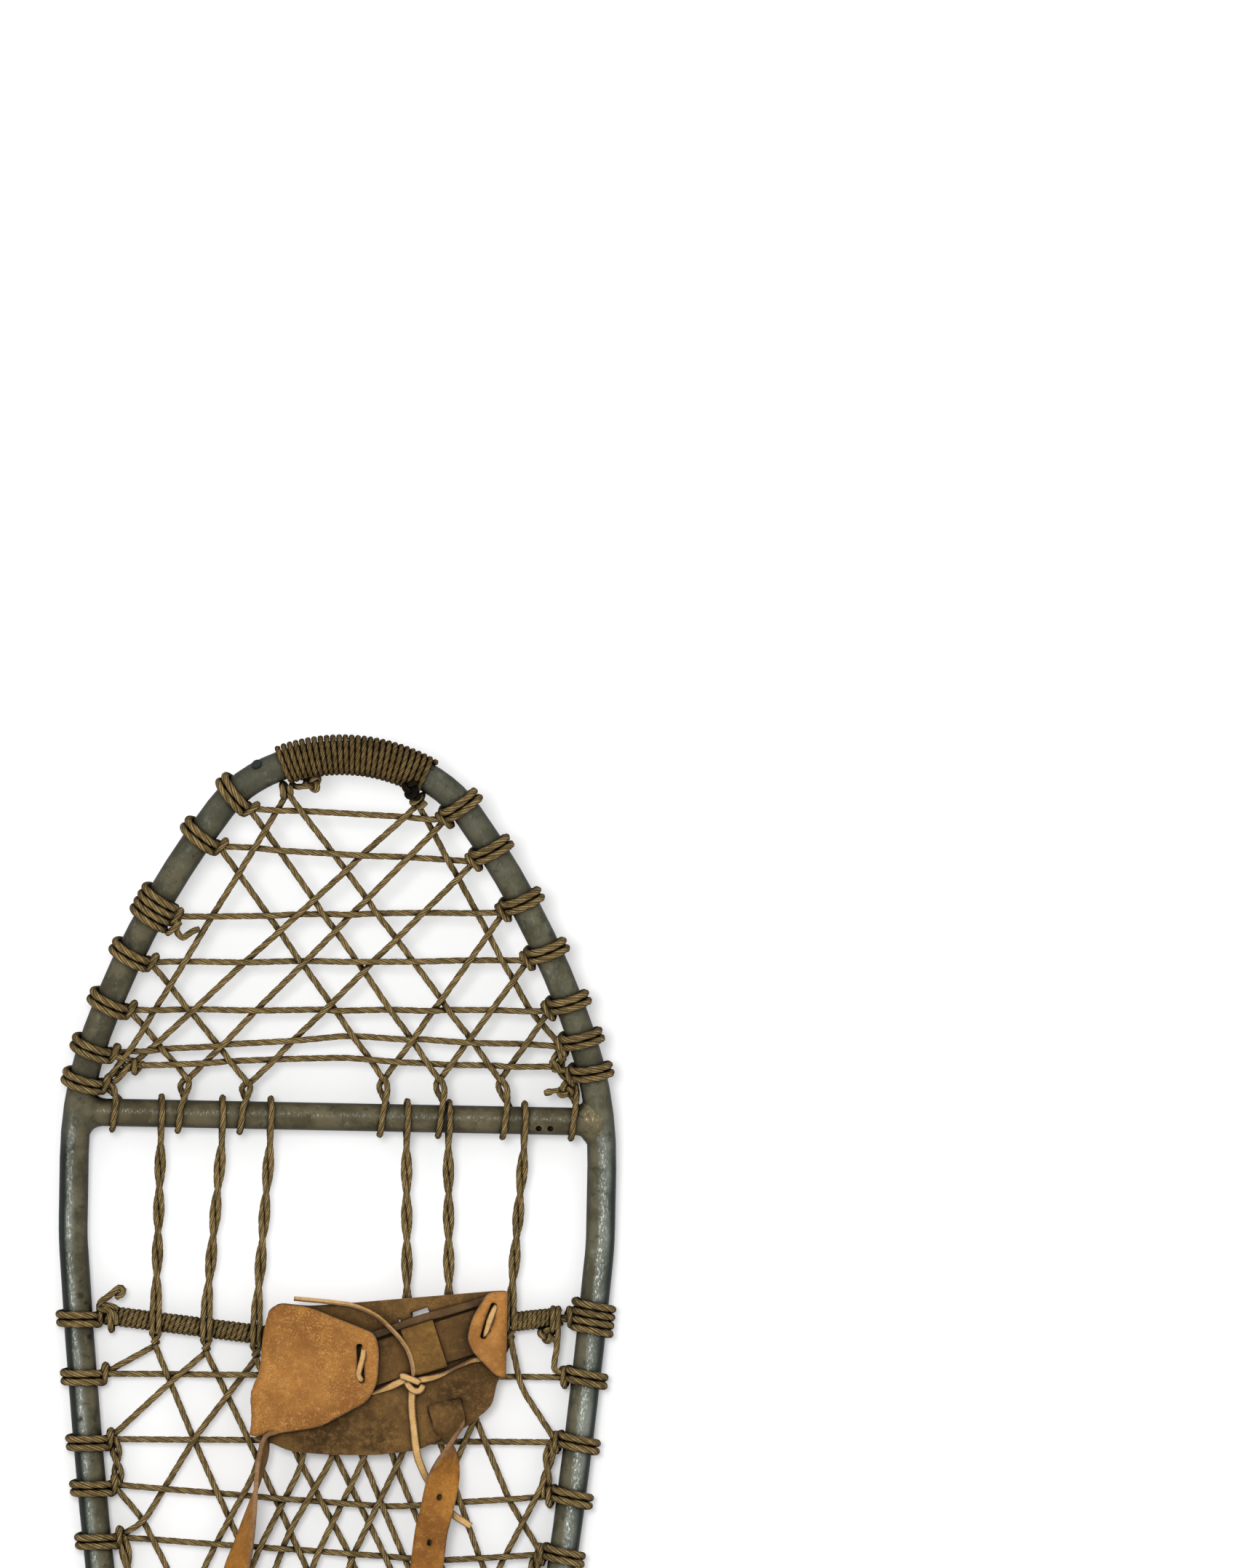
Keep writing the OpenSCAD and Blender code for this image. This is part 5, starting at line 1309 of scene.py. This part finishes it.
def chape_bend(q):
    v = q[:, 1]
    turn = np.clip(-v / CHAPE_R, 0, math.radians(262))
    y = np.maximum(v, 0) - CHAPE_R * np.sin(turn)
    return BUCKLE + np.stack([q[:, 0], y, CHAPE_R * np.cos(turn)], 1)


mesh = Mesh()
v = CHAPE_R * math.radians(258)
slot = oblong(-2.3, 2.3, -v + 1.5, 8, 1.2)
holes = [slot] + [pill((0, y), 3.1, 3.1, 0, ROUND) for y in (13.6, 23.6)]
half = [(end, 28.6), (end, 4), (end - 0.7, 0), (end - 0.7, -v)]
leather(mesh, soft_corners([(-x, y) for x, y in half] + half[::-1], 2), holes, 1.3, chape_bend, 2.3)
leather_piece(mesh, "buckle_chape", [strap_look, flesh_look, edge_look], body="strap_left")

# Keeper loop round the strap: half its flat top, corner radius, side, half its lower run, and its top
KEEP_FLAT, KEEP_R, KEEP_SIDE, KEEP_UNDER, KEEP_TOP = 8.6, 1.5, 7, 8.5, 19.2
KEEP_CORNER = KEEP_R * math.pi / 2


def keeper_place(q, z):
    return np.stack([-50 + q[:, 1], -296.5 + q[:, 0], z], 1)


def keeper_bend(q):
    # closed loop round the strap, joined underneath
    upper = wrap_bend(KEEP_FLAT, KEEP_R, KEEP_TOP, keeper_place)(q)
    low = np.maximum(np.abs(q[:, 1]) - (KEEP_FLAT + KEEP_CORNER + KEEP_SIDE), 0)
    turn = np.clip(low / KEEP_R, 0, math.pi / 2)
    k = low > 0
    y = KEEP_FLAT + KEEP_R * np.cos(turn) - np.maximum(low - KEEP_CORNER, 0)
    z = KEEP_TOP - KEEP_R - KEEP_SIDE - KEEP_R * np.sin(turn)
    upper[k] = keeper_place(np.stack([q[:, 0], np.sign(q[:, 1]) * y], 1), z)[k]
    return upper


mesh = Mesh()
v = KEEP_FLAT + 2 * KEEP_CORNER + KEEP_SIDE + KEEP_UNDER
leather(mesh, oblong(-4.5, 4.5, -v, v, 0.6), [], 1.3, keeper_bend, 1.9)
leather_piece(mesh, "strap_keeper", [strap_look, flesh_look, edge_look], body="strap_left")

# Rawhide lace: passes under the flaps, the bits that show in the slots, the knot and the free ends
LACE_W, LACE_T, SLOT_T = 3.7, 1.7, 1.5
mesh = Mesh()
ribbon(mesh, [(16, -122, 11), (30, -116.4, 11.2), (46, -110.5, 11.1), (64, -105, 11.2), (84, -99, 11)],
       [4.2, 4.8, 4.4], 2.0, [0, 6, -5, 0], mats=(3, 3, 3))
ribbon(mesh, [(18, -152, 11), (24, -150.4, 11), (31, -147.6, 11.6), (37, -144.6, 12.4), (40, -143.6, 12.8)],
       [2.2, 2.8, 4.2, LACE_W], LACE_T, [70, 40, 0, 0])
ribbon(mesh, [(43, -144.6, 12.8), (48, -143.4, 12.6), (54, -142.2, 11.8), (60, -140, 11.2), (68, -136, 11.1),
              (76, -132.2, 11.4), (84, -131, 11)],
       [3.4, 3.9, 3.4, 2, 2, 3.2, LACE_W], LACE_T, [0, 0, 20, 80, 70, 20, 0])
ribbon(mesh, [(16.2, -124.8, 12.4), (16.4, -127.6, 15.4), (15.8, -132, 16.6), (14.4, -137.6, 16.6),
              (13.8, -141.4, 16.4), (15.6, -144.2, 15.6), (17.2, -145, 12.6)],
       [3.3], SLOT_T, [10, 15, 15, 10, 10, 0, 0])
ribbon(mesh, [(89, -100.6, 12.8), (87.6, -103.4, 15.8), (85.4, -109.4, 17.2), (83.6, -115.4, 16.8),
              (81.6, -120.4, 13)], [1.8, 3.2, 3.6, 2.8, 1.4], SLOT_T, [0, -10, 15, 5, 0])
ribbon(mesh, [(36.8, -141.8, 12.6), (38.4, -141.6, 14.4), (42, -142.8, 15), (46, -144.4, 14.4),
              (47, -145.2, 12.6)], [LACE_W], LACE_T, [0])
ribbon(mesh, [(40.2, -144.4, 12.6), (41.4, -146.6, 14), (44, -149.2, 14.2), (47.4, -149.4, 13.8),
              (49.2, -146.4, 12.4)], [LACE_W], LACE_T, [0, 10, 0, -10, 0])
dress(mesh, "toe_lace_thong", [hide_look, hide_look, edge_look, dark_hide_look], "rawhide", "toe_lace",
      body="binding")


def lace_end(node, points, wide, roll):
    mesh = Mesh()
    ribbon(mesh, points, wide, LACE_T, roll)
    ob = dress(mesh, node + "_thong", [hide_look, hide_look, edge_look], "rawhide", node, body="binding")
    path = row(smooth_line(points, STEP))


lace_end("lace_end_front",
         [(43.8, -141.6, 13.8), (43.6, -138, 15), (42.8, -133.6, 15.2), (40.6, -127.6, 15),
          (37.4, -122.6, 14.8), (33, -117.6, 14.6), (23.6, -109.2, 13.4), (11.8, -103.8, 12.2),
          (0, -102, 11.4), (-22.6, -100.2, 11.4)],
         [2.9, 2.9, 2.7, 2.8], [60, 50, 45, 40, 35, 40])
lace_end("lace_end_rear",
         [(43.4, -149.4, 12.6), (43.2, -153, 11.5), (43.2, -158, 11.2), (44.3, -168, 11.2), (46.6, -184, 11),
          (49.4, -192, 8.4), (53, -199, 7.2), (59, -206, 7.2), (65, -215.5, 7.2), (77, -223.5, 7.2)],
         [4.2, 4.0, 4.3, 3.9, 4.2, 3.8], [0, 5, -8, 4, 10, 0])


# Fillets where the crossbars meet the frame: smoother on the left, a lumpy bead on the right
def fillet(mesh, spot, s, side, run, lump, place):
    # run is the bead's reach along the crossbar, lump how uneven it is
    n = np.array([cos(spot[2]), sin(spot[2])])
    a = np.array([-sin(spot[2]), cos(spot[2])])
    bar_r, tube_r = BAR_R + GAP, TUBE_R + GAP
    rings, steps = 48, 9
    verts = []
    for i in range(rings):
        f = 360 * i / rings
        w, at = BAR_R * sin(f), s + BAR_R * cos(f)
        x = spot[0] + (math.sqrt(TUBE_R**2 - w * w) - (at - spot[1]) * n[1]) / n[0]
        reach = run * (1 + lump * 0.5 * noise.noise(Vector((f / 14, side * 3.0, s / 40))))
        on_bar = np.array([x - side * reach, s + bar_r * cos(f), bar_r * sin(f)])
        turn = math.degrees(math.asin(w / TUBE_R))
        turn = max(-102.0, min(102.0, turn * (1 + 0.8 * reach / BAR_R)))
        along = (BAR_R + reach) * cos(f)
        flat = np.array(spot[:2]) + n * tube_r * cos(turn) + a * along
        on_tube = np.append(flat, tube_r * sin(turn))
        if (on_tube[1] - s) * cos(f) < 0:
            on_tube[:2] -= 2 * a * along
        lean = np.array([-side * 0.4, 0.5 * cos(f), 0.5 * sin(f)])
        corner = np.array([x, at, w]) + lean * (1 + 1.6 * lump)
        for k in range(steps + 1):
            t = k / steps
            p = (1 - t)**2 * on_bar + 2 * t * (1 - t) * corner + t * t * on_tube
            if lump:
                v = noise.noise(Vector((p[0] / 2.6, p[1] / 2.6, p[2] / 2.6)))
                p = p + np.array([-side * 0.5, 0.6 * cos(f), 0.6 * sin(f)]) * lump * v * 4 * t * (1 - t)
            verts.append(p)
    faces, uvs = [], []
    for i in range(rings):
        o, j = i * (steps + 1), (i + 1) % rings * (steps + 1)
        for k in range(steps):
            q = (o + k, o + k + 1, j + k + 1, j + k)
            faces.append(q if side < 0 else q[::-1])
            uvs.append(((0, 0), (0, 1), (1, 1), (1, 0)))
    mesh.add(place(np.array(verts)), (faces, uvs, 0 if side < 0 else 1))


mesh = Mesh()
fillet(mesh, toe_spot(0, -1), BAR_S, -1, 6.5, 0, toe)
fillet(mesh, toe_spot(0, 1), BAR_S, 1, 5.0, 1, toe)
dress(mesh, "front_crossbar_fillets", [left_metal, weld_metal], "weld", "front_crossbar_welds")
mesh = Mesh()
fillet(mesh, foot_spot(REAR_Y, -1), REAR_Y, -1, 6.0, 0.4, same)
fillet(mesh, foot_spot(REAR_Y, 1), REAR_Y, 1, 5.0, 1, same)
dress(mesh, "rear_crossbar_fillets", [left_metal, weld_metal], "weld", "rear_crossbar_welds")

LOOKS = {
    "frame_left": left_metal, "frame_right": right_metal, "toe_splice_sleeve": left_metal,
    "splice_rivets": rivet_metal, "front_crossbar": bar_metal, "rear_crossbar": bar_metal,
    "tail_rivets": bright_metal, "tail_plugs": bar_metal, "chape_rivets": bright_metal,
    "buckle_frame": bright_metal, "buckle_prong": bright_metal,
}
for name, look in LOOKS.items():
    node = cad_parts[name]
    node.data.materials.clear()
    node.data.materials.append(look)

# Floor, world and lamp
floor_mesh = bpy.data.meshes.new("floor")
floor_mesh.from_pydata([(-4, -4, 0), (4, -4, 0), (4, 4, 0), (-4, 4, 0)], [], [(0, 1, 2, 3)])
floor = link("floor", floor_mesh)
floor_look = Look("floor_white")
white = floor_look.mix(floor_look.noise(3, 2), (0.92, 0.92, 0.92, 1), (0.94, 0.94, 0.94, 1))
floor_look.set(Base_Color=white, Roughness=0.9, Emission_Color=(1, 1, 1, 1), Emission_Strength=0.1)
floor_mesh.materials.append(floor_look.m)

world = bpy.data.worlds.new("studio")
bpy.context.scene.world = world
world.use_nodes = True
background = world.node_tree.nodes["Background"].inputs
background["Color"].default_value = (1, 1, 1, 1)
background["Strength"].default_value = 0.82

lamp = bpy.data.lights.new("key", "AREA")
lamp.shape = "DISK"
lamp.size = 0.9
lamp.energy = 46
key = link("key", lamp)
key.location = (-0.28, 0.72, 3.2)
key.rotation_euler = (Vector((0, 0.45, 0)) - key.location).to_track_quat("-Z", "Y").to_euler()
key.visible_camera = False
bpy.context.scene.view_settings.view_transform = "Standard"

bpy.context.view_layer.update()
